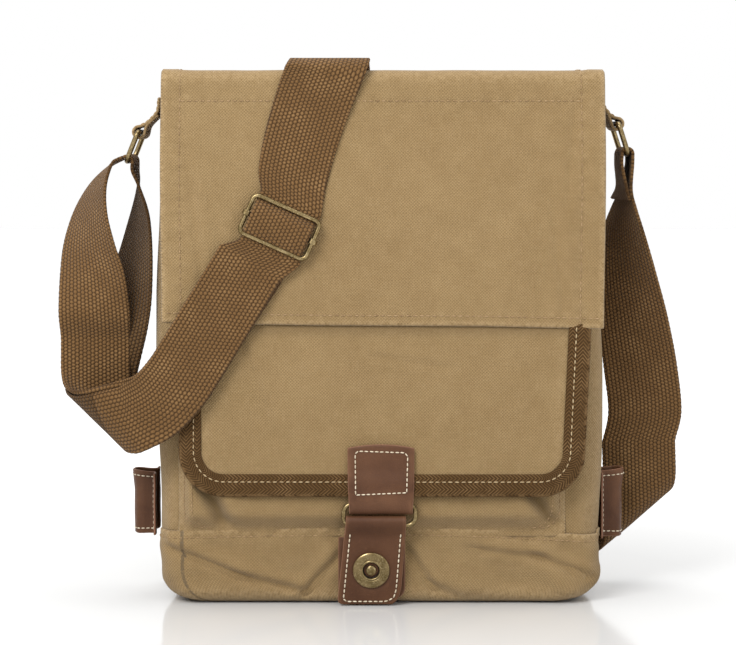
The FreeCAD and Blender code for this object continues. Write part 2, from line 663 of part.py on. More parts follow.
def build_strap_left():
    bar = far_bar(-1, D_LEFT, D_LEFT_TILT)
    leg = WIRE / 2 + FOLD_PLAY + WEB_T / 2
    front = front_run_frames()
    under = under_frames()
    front_turn = turned(front[-1], front[-2], Z_AXIS, OUTER_TURN_R)
    front[-1] = front_turn[0]
    under_turn = turned(under[-1], under[-2], Z_AXIS, UNDER_TURN_R)
    outer_rise = rising(OUTER_RISE + ring_stops(bar.x - leg, bar.z), WEB_W)
    inner_rise = rising(INNER_RISE + ring_stops(bar.x + leg, bar.z), SLIDER_WEB_W)
    outer = ribbon([front_turn[-1]] + outer_rise)
    inner = ribbon([under_turn[-1]] + inner_rise)
    near = ring_cylinder(D_LEFT, SPLIT_R_RING)
    inside = hinge_cylinder(SPLIT_R_HINGE - SPLIT_GAP / 2)
    outside = hinge_cylinder(SPLIT_R_HINGE + SPLIT_GAP / 2)
    top = front_top_frames()
    rear = block(-200, 200, -200, FLAP_HINGE_Y - 0.3, 0, 400)
    fold = bight(bar, WEB_W - 1, FOLD_DROP)
    return {
        "strap_over_top": one(ribbon(top + front[:1]).common(rear)),
        "strap_front_run": ribbon(front),
        "strap_front_turn": ribbon(front_turn),
        "strap_under_layer": ribbon(under),
        "strap_under_turn": ribbon(under_turn),
        "strap_outer_loop": one(outer.cut(outside)),
        "strap_inner_loop": one(inner.cut(outside)),
        "strap_outer_neck": one(outer.common(inside).cut(near)),
        "strap_inner_neck": one(inner.common(inside).cut(near)),
        "strap_fold_left": one(fold.common(ring_cylinder(D_LEFT, SPLIT_R_RING - SPLIT_GAP))),
    }


def build_strap_right():
    bar = far_bar(1, D_RIGHT, D_RIGHT_TILT)
    leg = WIRE / 2 + FOLD_PLAY + WEB_T / 2
    leave = [(centre, (0, -1, 0)) for centre, _ in ring_stops(bar.x + leg, bar.z)[::-1]]
    down = rising(leave + RIGHT_FALL, WEB_W)
    turn = turned(down[-1], down[-2], V(*BACK_HEADING), RIGHT_TURN_R)
    end = turn[-1][0]
    heading = V(*BACK_HEADING).normalize()
    across = V(heading.z, 0, -heading.x)
    if across.dot(turn[-1][1]) < 0:
        across = across * -1
    back = [turn[-1]]
    for z in BACK_RUN_STOPS:
        x = end.x + heading.x / heading.z * (z - end.z)
        y = BACK_RUN_Y + (BACK_RUN_TOP_Z - z) * BACK_RUN_SLOPE
        back.append((V(x, y, z), across, heading.cross(across), WEB_W))
    run = ribbon(down)
    near = ring_cylinder(D_RIGHT, SPLIT_R_RING)
    inside = hinge_cylinder(SPLIT_R_HINGE - SPLIT_GAP / 2)
    outside = hinge_cylinder(SPLIT_R_HINGE + SPLIT_GAP / 2)
    fold = bight(bar, WEB_W - 1, FOLD_DROP)
    tail_x = bar.x - leg
    tail = ribbon(rising([((tail_x, 0, bar.z), (0, -1, 0)), ((tail_x, 0, bar.z - 10), (0, -1, 0)),
                          ((tail_x + 0.4, 0, bar.z - 24), (0, -1, 0))], WEB_W - 1))
    return {
        "strap_fold_right": one(fold.common(ring_cylinder(D_RIGHT, SPLIT_R_RING - SPLIT_GAP))),
        "strap_right_neck": one(run.common(inside).cut(near)),
        "strap_sewn_end": one(tail.common(inside).cut(near)),
        "strap_right_run": one(run.cut(outside)),
        "strap_right_turn": ribbon(turn),
        "strap_back_run": one(ribbon(back).common(block(-300, 300, -100, 100, 0, BACK_RUN_TOP_Z + 0.3))),
    }


def build_slider():
    frame = rounded_wire_loop(SLIDER_W, SLIDER_H, FRAME_CORNER_R, FRAME_CORNER_R, SLIDER_WIRE)
    frame.translate(V(0, -FRAME_OUT, SLIDER_H / 2))
    half = SLIDER_W / 2
    bar = Part.makeCylinder(SLIDER_BAR / 2, 2 * half - 3.2, V(-half + 1.6, -BAR_OUT, 0), X_AXIS)
    for side in (-1, 1):
        at = V(side * half, -FRAME_OUT, -COLLAR_L / 2)
        collar = Part.makeCylinder(COLLAR_R, COLLAR_L, at, Z_AXIS)
        bar = bar.fuse(collar)
    for side in (-1, 1):
        at = V(side * half, -FRAME_OUT, -COLLAR_L)
        bar = bar.cut(Part.makeCylinder(SLIDER_WIRE / 2 + 0.15, 2 * COLLAR_L, at, Z_AXIS))
    fold_w = SLIDER_WEB_W - 0.6
    inner_r = SLIDER_BAR / 2 + 0.2
    outer_r = inner_r + WEB_T
    fold = Part.makeCylinder(outer_r, fold_w, V(-fold_w / 2, -BAR_OUT, 0), X_AXIS)
    fold = fold.cut(Part.makeCylinder(inner_r, fold_w, V(-fold_w / 2, -BAR_OUT, 0), X_AXIS))
    fold = fold.common(block(-30, 30, -30, 30, 0, 30))
    for sign in (-1, 1):
        ys = sorted((-BAR_OUT + sign * inner_r, -BAR_OUT + sign * outer_r))
        fold = fold.fuse(block(-fold_w / 2, fold_w / 2, ys[0], ys[1], -4.0, 0))
    shapes = {"slider_frame": frame, "slider_bar": one(bar), "strap_end_fold": one(fold.removeSplitter())}
    at = flap_point(SLIDER_AT[0], SLIDER_AT[1], 0)
    for shape in shapes.values():
        shape.rotate(V(0, 0, 0), Y_AXIS, SLIDER_TILT_DEG)
        shape.rotate(V(0, 0, 0), X_AXIS, -math.degrees(FLAP_ANGLE))
        shape.translate(at)
    return shapes


def build_all():
    nodes = {}
    nodes.update(build_body())
    nodes.update(build_pocket())
    nodes.update(build_flap())
    closure, back_of_snap = build_closure()
    nodes.update(closure)
    nodes.update(build_stud(back_of_snap))
    for side, word in ((-1, "left"), (1, "right")):
        eye = D_LEFT if side < 0 else D_RIGHT
        tilt = D_LEFT_TILT if side < 0 else D_RIGHT_TILT
        nodes["side_loop_" + word] = side_loop(side)
        nodes["ring_tab_" + word] = ring_tab(side, eye)
        nodes["d_ring_" + word] = d_ring(side, eye, tilt)
    nodes.update(build_strap_left())
    nodes.update(build_strap_right())
    nodes.update(build_slider())
    return nodes


os.makedirs("parts", exist_ok=True)
for name, shape in build_all().items():
    shape.exportStep("parts/" + name + ".step")
    print(name, len(shape.Solids), shape.isValid(), round(shape.Volume))
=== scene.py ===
import math
import random
import bpy
import numpy as np
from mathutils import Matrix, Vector, noise


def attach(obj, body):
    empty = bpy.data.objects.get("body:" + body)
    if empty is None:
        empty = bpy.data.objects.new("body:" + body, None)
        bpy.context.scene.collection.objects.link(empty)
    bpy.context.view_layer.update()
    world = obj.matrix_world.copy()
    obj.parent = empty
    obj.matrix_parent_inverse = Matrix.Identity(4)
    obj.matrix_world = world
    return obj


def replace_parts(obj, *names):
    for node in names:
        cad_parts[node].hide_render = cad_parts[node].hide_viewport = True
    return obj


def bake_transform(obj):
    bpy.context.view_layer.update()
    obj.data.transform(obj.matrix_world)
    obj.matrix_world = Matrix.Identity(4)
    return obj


# Canvas messenger bag. Lengths here are millimetres in the row frame; put() turns them into metres.
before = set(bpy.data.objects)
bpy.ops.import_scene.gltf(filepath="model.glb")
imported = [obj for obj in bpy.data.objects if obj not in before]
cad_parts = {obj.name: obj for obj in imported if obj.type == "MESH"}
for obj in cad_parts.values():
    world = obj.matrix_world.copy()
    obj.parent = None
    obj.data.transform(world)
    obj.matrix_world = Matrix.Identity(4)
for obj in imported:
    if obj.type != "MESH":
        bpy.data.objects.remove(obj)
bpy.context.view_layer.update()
rng = random.Random(7)
STEP = 1.0

# the body: half width, half depth at the base, and how much that shrinks for each millimetre of height
HALF_W, HALF_D, TAPER, BODY_H = 132.0, 40.0, 0.0409, 318.0
# the flap's outer face: its Y at the crest, the crest's height, and the slope of the face
FLAP_Y, CREST, SLOPE = -36.0, 322.2, 0.066
ANG = math.atan(SLOPE)
NORM = np.array([0.0, -math.cos(ANG), math.sin(ANG)])
# centres of the two D-rings' straight bars, (reach from the middle, z), by side
RINGS = {-1: (146.5, 285.0), 1: (144.5, 290.0)}
WORDS = {-1: "left", 1: "right"}


def vec(*c):
    return np.array(c, float)


def join(*parts):
    """Arrays broadcast together and stacked along a new last axis."""
    return np.stack(np.broadcast_arrays(*parts), -1)


def bump(x, middle, width):
    """A soft hump of height 1 round a middle value."""
    return np.exp(-((x - middle) / width) ** 2)


def at_length(s, at, rows):
    """The row at a length along a polyline whose points lie at the lengths `at`."""
    return vec(*[np.interp(s, at, column) for column in rows.T])


def lengths(points):
    """Length so far at each point of a polyline."""
    steps = np.linalg.norm(np.diff(points, axis=0), axis=1)
    return np.concatenate([[0], np.cumsum(steps)])


def heading(degrees):
    """Unit (x, z) direction at an angle from +X towards +Z."""
    a = math.radians(degrees)
    return vec(math.cos(a), math.sin(a))


def span(a, b, count):
    return np.linspace(a, b, int(count / STEP))


def unit(a):
    n = np.linalg.norm(a, axis=-1, keepdims=True)
    return a / np.maximum(n, 1e-9)


def smooth(a, b, x):
    t = np.clip((np.asarray(x, float) - a) / (b - a), 0, 1)
    return t * t * (3 - 2 * t)


def wobble(p, scale, seed=0.0):
    """Smooth noise in -1..1 for an array of points in millimetres."""
    q = np.asarray(p, float).reshape(-1, 3) / scale
    out = [noise.noise((a + seed * 13.7, b - seed * 7.1, c + seed * 3.3)) for a, b, c in q]
    return np.array(out).reshape(np.asarray(p).shape[:-1])


def flap_pt(x, z, out=0.0):
    """Point of the flap's outer face at (x, z), moved outwards."""
    z = np.asarray(z, float)
    return join(x, FLAP_Y - (CREST - z) * SLOPE, z) + NORM * np.asarray(out, float)[..., None]


def wall_y(z):
    """Y of the body's front wall at a height."""
    return TAPER * z - HALF_D


def add_object(name, data):
    obj = bpy.data.objects.new(name, data)
    bpy.context.scene.collection.objects.link(obj)
    return obj


def put(name, verts, faces, mat, uv, body, marks=None):
    """Makes the mesh object, with its UVs in millimetres and any per-vertex marks."""
    verts = np.asarray(verts, float)
    mesh = bpy.data.meshes.new(name)
    mesh.from_pydata((verts * 0.001).tolist(), [], [tuple(int(i) for i in f) for f in faces])
    if uv is not None:
        layer = mesh.uv_layers.new(name="UVMap")
        loops = np.empty(len(mesh.loops), int)
        mesh.loops.foreach_get("vertex_index", loops)
        layer.data.foreach_set("uv", np.asarray(uv, float)[loops].ravel())
    for key, values in (marks or {}).items():
        attr = mesh.attributes.new(key, "FLOAT", "POINT")
        attr.data.foreach_set("value", np.asarray(values, float).ravel())
    mesh.polygons.foreach_set("use_smooth", [True] * len(mesh.polygons))
    mesh.materials.append(mat)
    mesh.update()
    obj = add_object(name, mesh)
    if body:
        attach(obj, body)
    return obj


def grid_normals(P, wrap=False):
    du = np.gradient(P, axis=0)
    if wrap:
        du = (np.roll(P, -1, 0) - np.roll(P, 1, 0)) / 2
    dv = np.gradient(P, axis=1)
    return unit(np.cross(du, dv))


def slab(name, P, thick, mat, uv, body, wrap=False, normals=None, flip=False, marks=None,
         round_edge=0.42):
    """Closed sheet: a grid of outer points, its underside, and rounded rims marked "rim"."""
    nu, nv = P.shape[:2]
    N = grid_normals(P, wrap) if normals is None else normals
    if flip:
        N = -N
    Q = P - N * thick
    verts = [P.reshape(-1, 3), Q.reshape(-1, 3)]
    idx = np.arange(nu * nv).reshape(nu, nv)
    low = idx + nu * nv
    faces = []
    un = nu if wrap else nu - 1
    for grid, rev in ((idx, flip), (low, not flip)):
        a = grid[:un, :-1]
        b = np.roll(grid, -1, 0)[:un, :-1]
        c = np.roll(grid, -1, 0)[:un, 1:]
        d = grid[:un, 1:]
        quad = np.stack([a, b, c, d], -1).reshape(-1, 4)
        faces.append(quad[:, ::-1] if rev else quad)
    if wrap:
        loops = [[(i, 0) for i in range(nu)], [(i, nv - 1) for i in range(nu)][::-1]]
    else:
        loop = [(i, 0) for i in range(nu)] + [(nu - 1, j) for j in range(1, nv)]
        loop += [(i, nv - 1) for i in range(nu - 2, -1, -1)] + [(0, j) for j in range(nv - 2, 0, -1)]
        loops = [loop]
    uvs = [uv.reshape(-1, 2)] * 2
    marks = {k: np.broadcast_to(v, (nu, nv)) for k, v in (marks or {}).items()}
    extra = {k: [v.reshape(-1)] * 2 for k, v in marks.items()}
    rim_mark = [np.zeros(nu * nv), np.zeros(nu * nv)]
    count = 2 * nu * nv
    for loop in loops:
        I = np.array([p[0] for p in loop])
        J = np.array([p[1] for p in loop])
        inner_i = np.clip(I, 1, nu - 2) if not wrap else I
        inner_j = np.clip(J, 1, nv - 2)
        top, bottom = P[I, J], Q[I, J]
        away = unit(top - P[inner_i, inner_j])
        mid = (top + bottom) / 2 + away * thick * round_edge
        verts.append(mid)
        m = np.arange(len(loop)) + count
        count += len(loop)
        a, b = idx[I, J], low[I, J]
        for lo, hi in ((a, m), (m, b)):
            quad = np.stack([lo, hi, np.roll(hi, -1), np.roll(lo, -1)], -1)
            faces.append(quad[:, ::-1] if flip else quad)
        uvs.append(uv[I, J])
        for k in extra:
            extra[k] = extra[k] + [marks[k][I, J]]
        rim_mark.append(np.ones(len(loop)))
    all_marks = {k: np.concatenate(v) for k, v in extra.items()}
    all_marks["rim"] = np.concatenate(rim_mark)
    verts, faces, uvs = (np.concatenate(parts) for parts in (verts, faces, uvs))
    return put(name, verts, faces, mat, uvs, body, all_marks)


def stitches(name, points, normals, mat, body="bag", pitch=3.6, length=2.5, radius=0.33):
    """Thread seen as one capsule for each stitch along one or several polylines."""
    lift = 0.12
    runs = points if isinstance(points, list) else [points]
    norms = normals if isinstance(normals, list) else [normals] * len(runs)
    sides, rings = 6, (-1.0, -0.8, -0.35, 0.35, 0.8, 1.0)
    verts, faces = [], []
    for pts, nrm in zip(runs, norms):
        pts = np.asarray(pts, float)
        nrm = np.broadcast_to(np.asarray(nrm, float), pts.shape)
        at = lengths(pts)
        n = max(1, int(at[-1] / pitch))
        step = at[-1] / n
        for k in range(n):
            s = (k + 0.5) * step + rng.uniform(-0.12, 0.12)
            start, end = at_length(s - length / 2, at, pts), at_length(s + length / 2, at, pts)
            up = unit(at_length(s, at, nrm))
            along = end - start
            half = np.linalg.norm(along) / 2
            along = unit(along)
            side = unit(np.cross(along, up))
            slant = rng.uniform(-0.05, 0.05)
            along = unit(along + side * slant)
            centre = (start + end) / 2 + up * lift
            base = len(verts)
            for r in rings:
                w = math.sqrt(max(0.0, 1 - (abs(r) ** 3))) * radius + 0.03
                sink = -0.25 * radius * r * r
                for q in range(sides):
                    a = 2 * math.pi * q / sides
                    round_it = side * math.cos(a) + up * math.sin(a)
                    verts.append(centre + along * half * r + round_it * w + up * sink)
            for j in range(len(rings) - 1):
                for q in range(sides):
                    a, b = base + j * sides + q, base + j * sides + (q + 1) % sides
                    faces.append((a, b, b + sides, a + sides))
            faces.append(tuple(base + q for q in range(sides))[::-1])
            faces.append(tuple(base + (len(rings) - 1) * sides + q for q in range(sides)))
    return put(name, verts, faces, mat, None, body)


def catmull(points, per):
    """Catmull-Rom samples through rows of numbers, `per` of them for each span."""
    p = np.asarray(points, float)
    p = np.vstack([2 * p[0] - p[1], p, 2 * p[-1] - p[-2]])
    out = []
    for i in range(1, len(p) - 2):
        for k in range(per):
            t = k / per
            a, b, c, d = p[i - 1], p[i], p[i + 1], p[i + 2]
            out.append(0.5 * (2 * b + (c - a) * t + (2 * a - 5 * b + 4 * c - d) * t * t
                              + (3 * b - a - 3 * c + d) * t ** 3))
    out.append(p[-2])
    return np.array(out)


def resample(rows, step):
    """Polyline points spaced evenly along it, and the length at each."""
    at = lengths(rows)
    s = np.linspace(0, at[-1], max(2, int(at[-1] / step) + 1))
    return join(*[np.interp(s, at, column) for column in rows.T]), s


# ---------------------------------------------------------------- materials
class Graph:
    """A few short-hands for building a material's nodes."""

    def __init__(self, name):
        self.mat = bpy.data.materials.new(name)
        self.mat.use_nodes = True
        self.tree = self.mat.node_tree
        self.shader = self.tree.nodes["Principled BSDF"]
        uvn = self.tree.nodes.new("ShaderNodeUVMap")
        uvn.uv_map = "UVMap"
        split = self.tree.nodes.new("ShaderNodeSeparateXYZ")
        self.link(uvn.outputs[0], split.inputs[0])
        self.uv, self.u, self.v = uvn.outputs[0], split.outputs[0], split.outputs[1]
        self.coord = self.tree.nodes.new("ShaderNodeTexCoord").outputs["Object"]

    def link(self, a, b):
        self.tree.links.new(a, b)

    def feed(self, socket, value):
        if isinstance(value, (int, float)):
            socket.default_value = value
        elif isinstance(value, tuple):
            socket.default_value = value + (1.0,)
        else:
            self.link(value, socket)

    def set(self, **values):
        """Numbers for inputs of the shader, named with _ for each space."""
        for name, value in values.items():
            self.shader.inputs[name.replace("_", " ")].default_value = value

    def math(self, op, a, b=0.0):
        n = self.tree.nodes.new("ShaderNodeMath")
        n.operation = op
        self.feed(n.inputs[0], a)
        self.feed(n.inputs[1], b)
        return n.outputs[0]

    def add(self, a, b):
        return self.math("ADD", a, b)

    def sub(self, a, b):
        return self.math("SUBTRACT", a, b)

    def mul(self, a, b):
        return self.math("MULTIPLY", a, b)

    def capped(self, a, most):
        return self.math("MINIMUM", a, most)

    def weighted(self, first, *others):
        """Sum of (value, weight) pairs."""
        total = self.mul(*first)
        for pair in others:
            total = self.add(total, self.mul(*pair))
        return total

    def noise(self, scale, detail=3.0, rough=0.5, stretch=None, uv=False):
        n = self.tree.nodes.new("ShaderNodeTexNoise")
        n.inputs["Scale"].default_value = scale
        n.inputs["Detail"].default_value = detail
        n.inputs["Roughness"].default_value = rough
        src = self.uv if uv else self.coord
        if stretch:
            m = self.tree.nodes.new("ShaderNodeMapping")
            m.inputs["Scale"].default_value = stretch
            self.link(src, m.inputs[0])
            src = m.outputs[0]
        self.link(src, n.inputs["Vector"])
        return n.outputs["Fac"]

    def ramp(self, value, lo, hi, a=0.0, b=1.0):
        n = self.tree.nodes.new("ShaderNodeMapRange")
        n.clamp = True
        for s, v in zip(n.inputs, (value, lo, hi, a, b)):
            self.feed(s, v)
        return n.outputs[0]

    def mix(self, fac, a, b):
        n = self.tree.nodes.new("ShaderNodeMix")
        n.data_type = "RGBA"
        for place, value in ((0, fac), (6, a), (7, b)):
            self.feed(n.inputs[place], value)
        return n.outputs[2]

    def mark(self, name):
        n = self.tree.nodes.new("ShaderNodeAttribute")
        n.attribute_name = name
        return n.outputs["Fac"]

    def finish(self, colour, rough, height, distance, strength):
        """Colour, roughness, and a bump of the height, `distance` metres deep."""
        self.feed(self.shader.inputs["Base Color"], colour)
        self.feed(self.shader.inputs["Roughness"], rough)
        relief = self.tree.nodes.new("ShaderNodeBump")
        relief.inputs["Strength"].default_value = strength
        relief.inputs["Distance"].default_value = distance
        self.link(height, relief.inputs["Height"])
        self.link(relief.outputs[0], self.shader.inputs["Normal"])
        return self.mat


def scaled(colour, k):
    return tuple(k * c for c in colour)


def weave(g, pitch):
    """Plain weave: threads that pass over and under in turn."""
    across, along = (g.math("SINE", g.mul(way, math.pi / pitch)) for way in (g.u, g.v))
    return g.mul(across, along)


def canvas_material(name, dark, mid, light, pitch=0.95):
    """Washed plain-weave cloth with slubs, worn edges ("wear") and painted shade ("shade")."""
    g = Graph(name)
    big = g.noise(14.0, 3.0, 0.55)
    blot = g.noise(75.0, 3.0, 0.6)
    slub_u = g.noise(1.0, 2.0, 0.6, (0.10, 1.6, 1.0), uv=True)
    slub_v = g.noise(1.0, 2.0, 0.6, (1.6, 0.10, 1.0), uv=True)
    grain = g.noise(2600.0, 1.0, 0.5)
    cloth = weave(g, pitch)
    slub = g.add(slub_u, slub_v)
    tone = g.weighted((big, 0.45), (blot, 0.55))
    colour = g.mix(g.ramp(tone, 0.30, 0.62, 0.25, 1.0), dark, mid)
    colour = g.mix(g.ramp(slub, 0.98, 1.3, 0.0, 0.3), colour, light)
    colour = g.mix(g.ramp(slub, 0.75, 0.98, 0.3, 0.0), colour, dark)
    colour = g.mix(g.ramp(cloth, -1.0, 1.0, 0.62, 0.0), colour, scaled(dark, 0.55))
    worn = g.mul(g.mark("wear"), g.ramp(g.noise(420.0, 2.0), 0.35, 0.65))
    colour = g.mix(g.capped(g.mul(worn, 0.55), 0.45), colour, light)
    # painted shade: where the "shade" mark is set, the colour is pulled towards half the dark tone
    colour = g.mix(g.capped(g.mark("shade"), 0.8), colour, scaled(dark, 0.5))
    height = g.weighted((cloth, 0.32), (slub, 0.55), (grain, 0.35), (blot, 0.5))
    g.set(Sheen_Weight=0.12, Sheen_Roughness=0.6, Specular_IOR_Level=0.12)
    return g.finish(colour, 0.95, height, 0.0005, 1.0)


def webbing_material(name, dark, mid, light):
    """Heavy cotton webbing: columns of raised picks, each column half a pick on from the last."""
    g = Graph(name)
    column_width, pick_length = 2.35, 2.3
    across = g.math("DIVIDE", g.u, column_width)
    # the 200 keeps the count of columns positive, so that every second one is odd
    odd = g.mul(g.math("MODULO", g.add(g.math("FLOOR", across), 200.0), 2.0), 0.5)
    warp_bend = g.mul(g.sub(g.noise(1.0, 1.0, 0.5, (0.12, 0.12, 1.0), uv=True), 0.5), 0.9)
    along = g.add(g.add(g.math("DIVIDE", g.v, pick_length), odd), warp_bend)
    fall = []
    for way, steep in ((across, 4.0), (along, 3.6)):
        off = g.sub(g.math("FRACT", way), 0.5)
        fall.append(g.mul(g.mul(off, off), steep))
    pick = g.math("POWER", g.math("MAXIMUM", g.sub(1.0, g.add(*fall)), 0.0), 0.6)
    thread = g.math("SINE", g.mul(g.add(g.u, g.mul(g.v, 0.35)), 8.5))
    fuzz = g.noise(1700.0, 2.0, 0.6)
    blot = g.noise(60.0, 3.0, 0.6)
    height = g.add(g.add(pick, g.mul(thread, 0.07)), g.mul(fuzz, 0.22))
    colour = g.mix(g.ramp(pick, 0.0, 0.75), dark, mid)
    colour = g.mix(g.ramp(g.mul(pick, blot), 0.42, 0.7, 0.0, 0.55), colour, light)
    colour = g.mix(g.ramp(blot, 0.3, 0.7, 0.22, 0.0), colour, dark)
    colour = g.mix(g.mul(g.mark("rim"), 0.35), colour, dark)
    # painted shade: where the "shade" mark is set, the webbing is pulled towards a third of its dark tone
    colour = g.mix(g.mul(g.mark("shade"), 0.85), colour, scaled(dark, 0.35))
    g.set(Sheen_Weight=0.06, Specular_IOR_Level=0.1)
    return g.finish(colour, 0.95, height, 0.0011, 0.85)


def twill_material(name, dark, mid, light):
    """Herringbone tape: u runs across the tape, v along it."""
    g = Graph(name)
    half_chevron, rib_pitch = 3.3, 2.3
    fold = g.math("PINGPONG", g.add(g.u, 50.0), half_chevron)
    rib = g.math("SINE", g.mul(g.add(g.mul(fold, 1.15), g.v), 2 * math.pi / rib_pitch))
    rib = g.ramp(rib, -0.7, 0.8)
    blot = g.noise(90.0, 3.0)
    colour = g.mix(rib, dark, mid)
    colour = g.mix(g.ramp(g.mul(rib, blot), 0.45, 0.7, 0.0, 0.7), colour, light)
    worn = g.mul(g.mark("wear"), g.ramp(g.noise(300.0, 2.0), 0.4, 0.6))
    colour = g.mix(g.capped(worn, 0.6), colour, light)
    height = g.weighted((rib, 0.6), (g.noise(1800.0, 1.0), 0.3))
    g.set(Specular_IOR_Level=0.12)
    return g.finish(colour, 0.92, height, 0.0009, 1.0)


def leather_material(name, dark, mid, light, edge):
    """Oiled leather: fine creases, rubbed places ("wear") and paler cut edges ("rim")."""
    g = Graph(name)
    cell = g.tree.nodes.new("ShaderNodeTexVoronoi")
    cell.feature = "DISTANCE_TO_EDGE"
    cell.inputs["Scale"].default_value = 900.0
    g.link(g.coord, cell.inputs["Vector"])
    crease = g.ramp(cell.outputs["Distance"], 0.0, 0.12)
    big = g.noise(45.0, 4.0, 0.6)
    fine = g.noise(700.0, 3.0, 0.6)
    colour = g.mix(g.ramp(big, 0.35, 0.68), dark, mid)
    colour = g.mix(g.ramp(fine, 0.55, 0.75, 0.0, 0.3), colour, light)
    colour = g.mix(g.ramp(crease, 0.0, 1.0, 0.25, 0.0), colour, dark)
    colour = g.mix(g.capped(g.mul(g.mark("wear"), g.ramp(big, 0.3, 0.6)), 0.5), colour, light)
    colour = g.mix(g.mul(g.mark("rim"), 0.85), colour, edge)
    height = g.weighted((crease, 0.25), (fine, 0.5), (big, 0.9))
    rough = g.ramp(fine, 0.3, 0.7, 0.42, 0.62)
    g.set(Specular_IOR_Level=0.22)
    return g.finish(colour, rough, height, 0.00028, 0.8)


def brass_material(name, dark, mid, light):
    """Aged metal: patina in the hollows and brushed highlights."""
    g = Graph(name)
    g.set(Metallic=1.0)
    patina = g.noise(160.0, 4.0, 0.65)
    brush = g.noise(900.0, 2.0, 0.6)
    colour = g.mix(g.ramp(patina, 0.38, 0.62), dark, mid)
    colour = g.mix(g.ramp(brush, 0.5, 0.75, 0.0, 0.6), colour, light)
    rough = g.ramp(patina, 0.3, 0.7, 0.48, 0.26)
    height = g.weighted((patina, 0.6), (brush, 0.4))
    return g.finish(colour, rough, height, 0.00006, 0.6)


def thread_material(name, dark, light):
    g = Graph(name)
    tone = g.noise(500.0, 2.0)
    twist = g.noise(3000.0, 1.0)
    colour = g.mix(g.ramp(tone, 0.35, 0.65), dark, light)
    return g.finish(colour, 0.8, twist, 0.0002, 0.7)


# colours run from the dark hollows to the pale high places; the leather's last one is its cut edge
CANVAS = canvas_material("washed canvas", (0.222, 0.140, 0.057), (0.296, 0.198, 0.090), (0.39, 0.275, 0.145))
CANVAS_IN = canvas_material("lining cloth", (0.13, 0.09, 0.05), (0.17, 0.12, 0.07), (0.22, 0.17, 0.11), 0.7)
BOARD = canvas_material("stiffener board", (0.20, 0.15, 0.09), (0.26, 0.20, 0.13), (0.32, 0.26, 0.18), 0.5)
WEBBING = webbing_material("cotton webbing", (0.058, 0.029, 0.010), (0.170, 0.091, 0.034),
                           (0.28, 0.17, 0.075))
TWILL = twill_material("herringbone tape", (0.050, 0.026, 0.009), (0.105, 0.056, 0.020), (0.21, 0.125, 0.055))
LEATHER = leather_material("oiled leather", (0.062, 0.0235, 0.0095), (0.090, 0.037, 0.0155),
                           (0.14, 0.064, 0.030), (0.30, 0.155, 0.10))
BRASS = brass_material("antique brass", (0.13, 0.092, 0.038), (0.25, 0.185, 0.090), (0.46, 0.37, 0.21))
STEEL = brass_material("blackened steel", (0.012, 0.011, 0.010), (0.03, 0.027, 0.024), (0.07, 0.065, 0.055))
THREAD = thread_material("tan thread", (0.20, 0.122, 0.052), (0.34, 0.225, 0.115))
PALE_THREAD = thread_material("pale thread", (0.30, 0.21, 0.11), (0.46, 0.35, 0.20))
CREAM = thread_material("cream thread", (0.48, 0.40, 0.28), (0.66, 0.58, 0.44))


# ---------------------------------------------------------------- body
# points along the front, each corner, each side and the back of one ring round the body
BODY_COUNTS = (96, 10, 30, 72)
BAND_COUNTS = (120, 12, 34, 72)
# how far the base band stands outside the body
BAND_GROW = 1.35


def arc_inset(z, r):
    """How far a rounded bottom edge of radius r stands in at a height."""
    z = np.clip(z, 0, r)
    return r - np.sqrt(np.maximum(r * r - (r - z) ** 2, 0))


def body_ring(z, grow, counts):
    """Rows (x, y, z, nx, ny) round the body at one height: the point and its outward direction in plan."""
    front, corner, side, back = counts
    a = HALF_W + grow - arc_inset(z, 20.0) + 0.6 * math.sin(z / 40.0)
    b = -wall_y(z) + grow - arc_inset(z, 9.0)
    r = min(15.0, b - 2)
    rows = [(-(a - r) + 2 * (a - r) * k / front, -b, 0, -1) for k in range(front)]
    # each corner's centre and start angle, then the straight after it and where that points
    quarters = ((a - r, r - b, -90, side, (1, 0)), (a - r, b - r, 0, back, (0, 1)),
                (r - a, b - r, 90, side, (-1, 0)), (r - a, r - b, 180, 0, (0, -1)))
    for cx, cy, start, run, (nx, ny) in quarters:
        for k in range(corner):
            t = math.radians(start + 90 * k / corner)
            rows.append((cx + r * math.cos(t), cy + r * math.sin(t), math.cos(t), math.sin(t)))
        for k in range(run):
            f = 1 - 2 * k / run
            rows.append((nx * a + ny * (a - r) * f, ny * b - nx * (b - r) * f, nx, ny))
    return [(x, y, z, nx, ny) for x, y, nx, ny in rows]


def body_points(zs, grow=0.0, counts=BODY_COUNTS):
    """Rings of points round the body, and the outward directions in plan."""
    data = np.array([body_ring(z, grow, counts) for z in zs]).transpose(1, 0, 2)
    return data[..., :3].copy(), data[..., 3:5].copy()


def sag(P, out):
    """How far the filled cloth stands off its pattern at each point, outwards in plan."""
    x, y, z = P[..., 0], P[..., 1], P[..., 2]
    side = np.abs(out[..., 0]) ** 3
    facing = np.abs(out[..., 1]) ** 3
    swell = np.where(out[..., 0] < 0, 5.6 * bump(z, 160, 80), 4.8 * bump(z, 130, 75))
    crease = -4.5 * bump(y, 0, 7.0) * smooth(96, 150, z) * (1 - smooth(225, 272, z))
    move = side * (swell + crease)
    belly = np.cos(np.clip(x / HALF_W, -1, 1) * math.pi / 2)
    move += facing * (1.6 * belly * np.sin(np.clip(z / BODY_H, 0, 1) * math.pi))
    quiet = 1 - 0.8 * smooth(300, BODY_H, z)
    move += quiet * (1.3 * wobble(P, 62.0, 1) + 0.9 * wobble(P * vec(1, 1, 0.6), 26.0, 2))
    along = np.where(facing > 0.5, x, y)
    pucker = np.sin(along / 2.1 + 2.0 * wobble(P, 30.0, 4)) * bump(z, 47, 9.0)
    return move + 0.35 * pucker * smooth(0, 12, z)


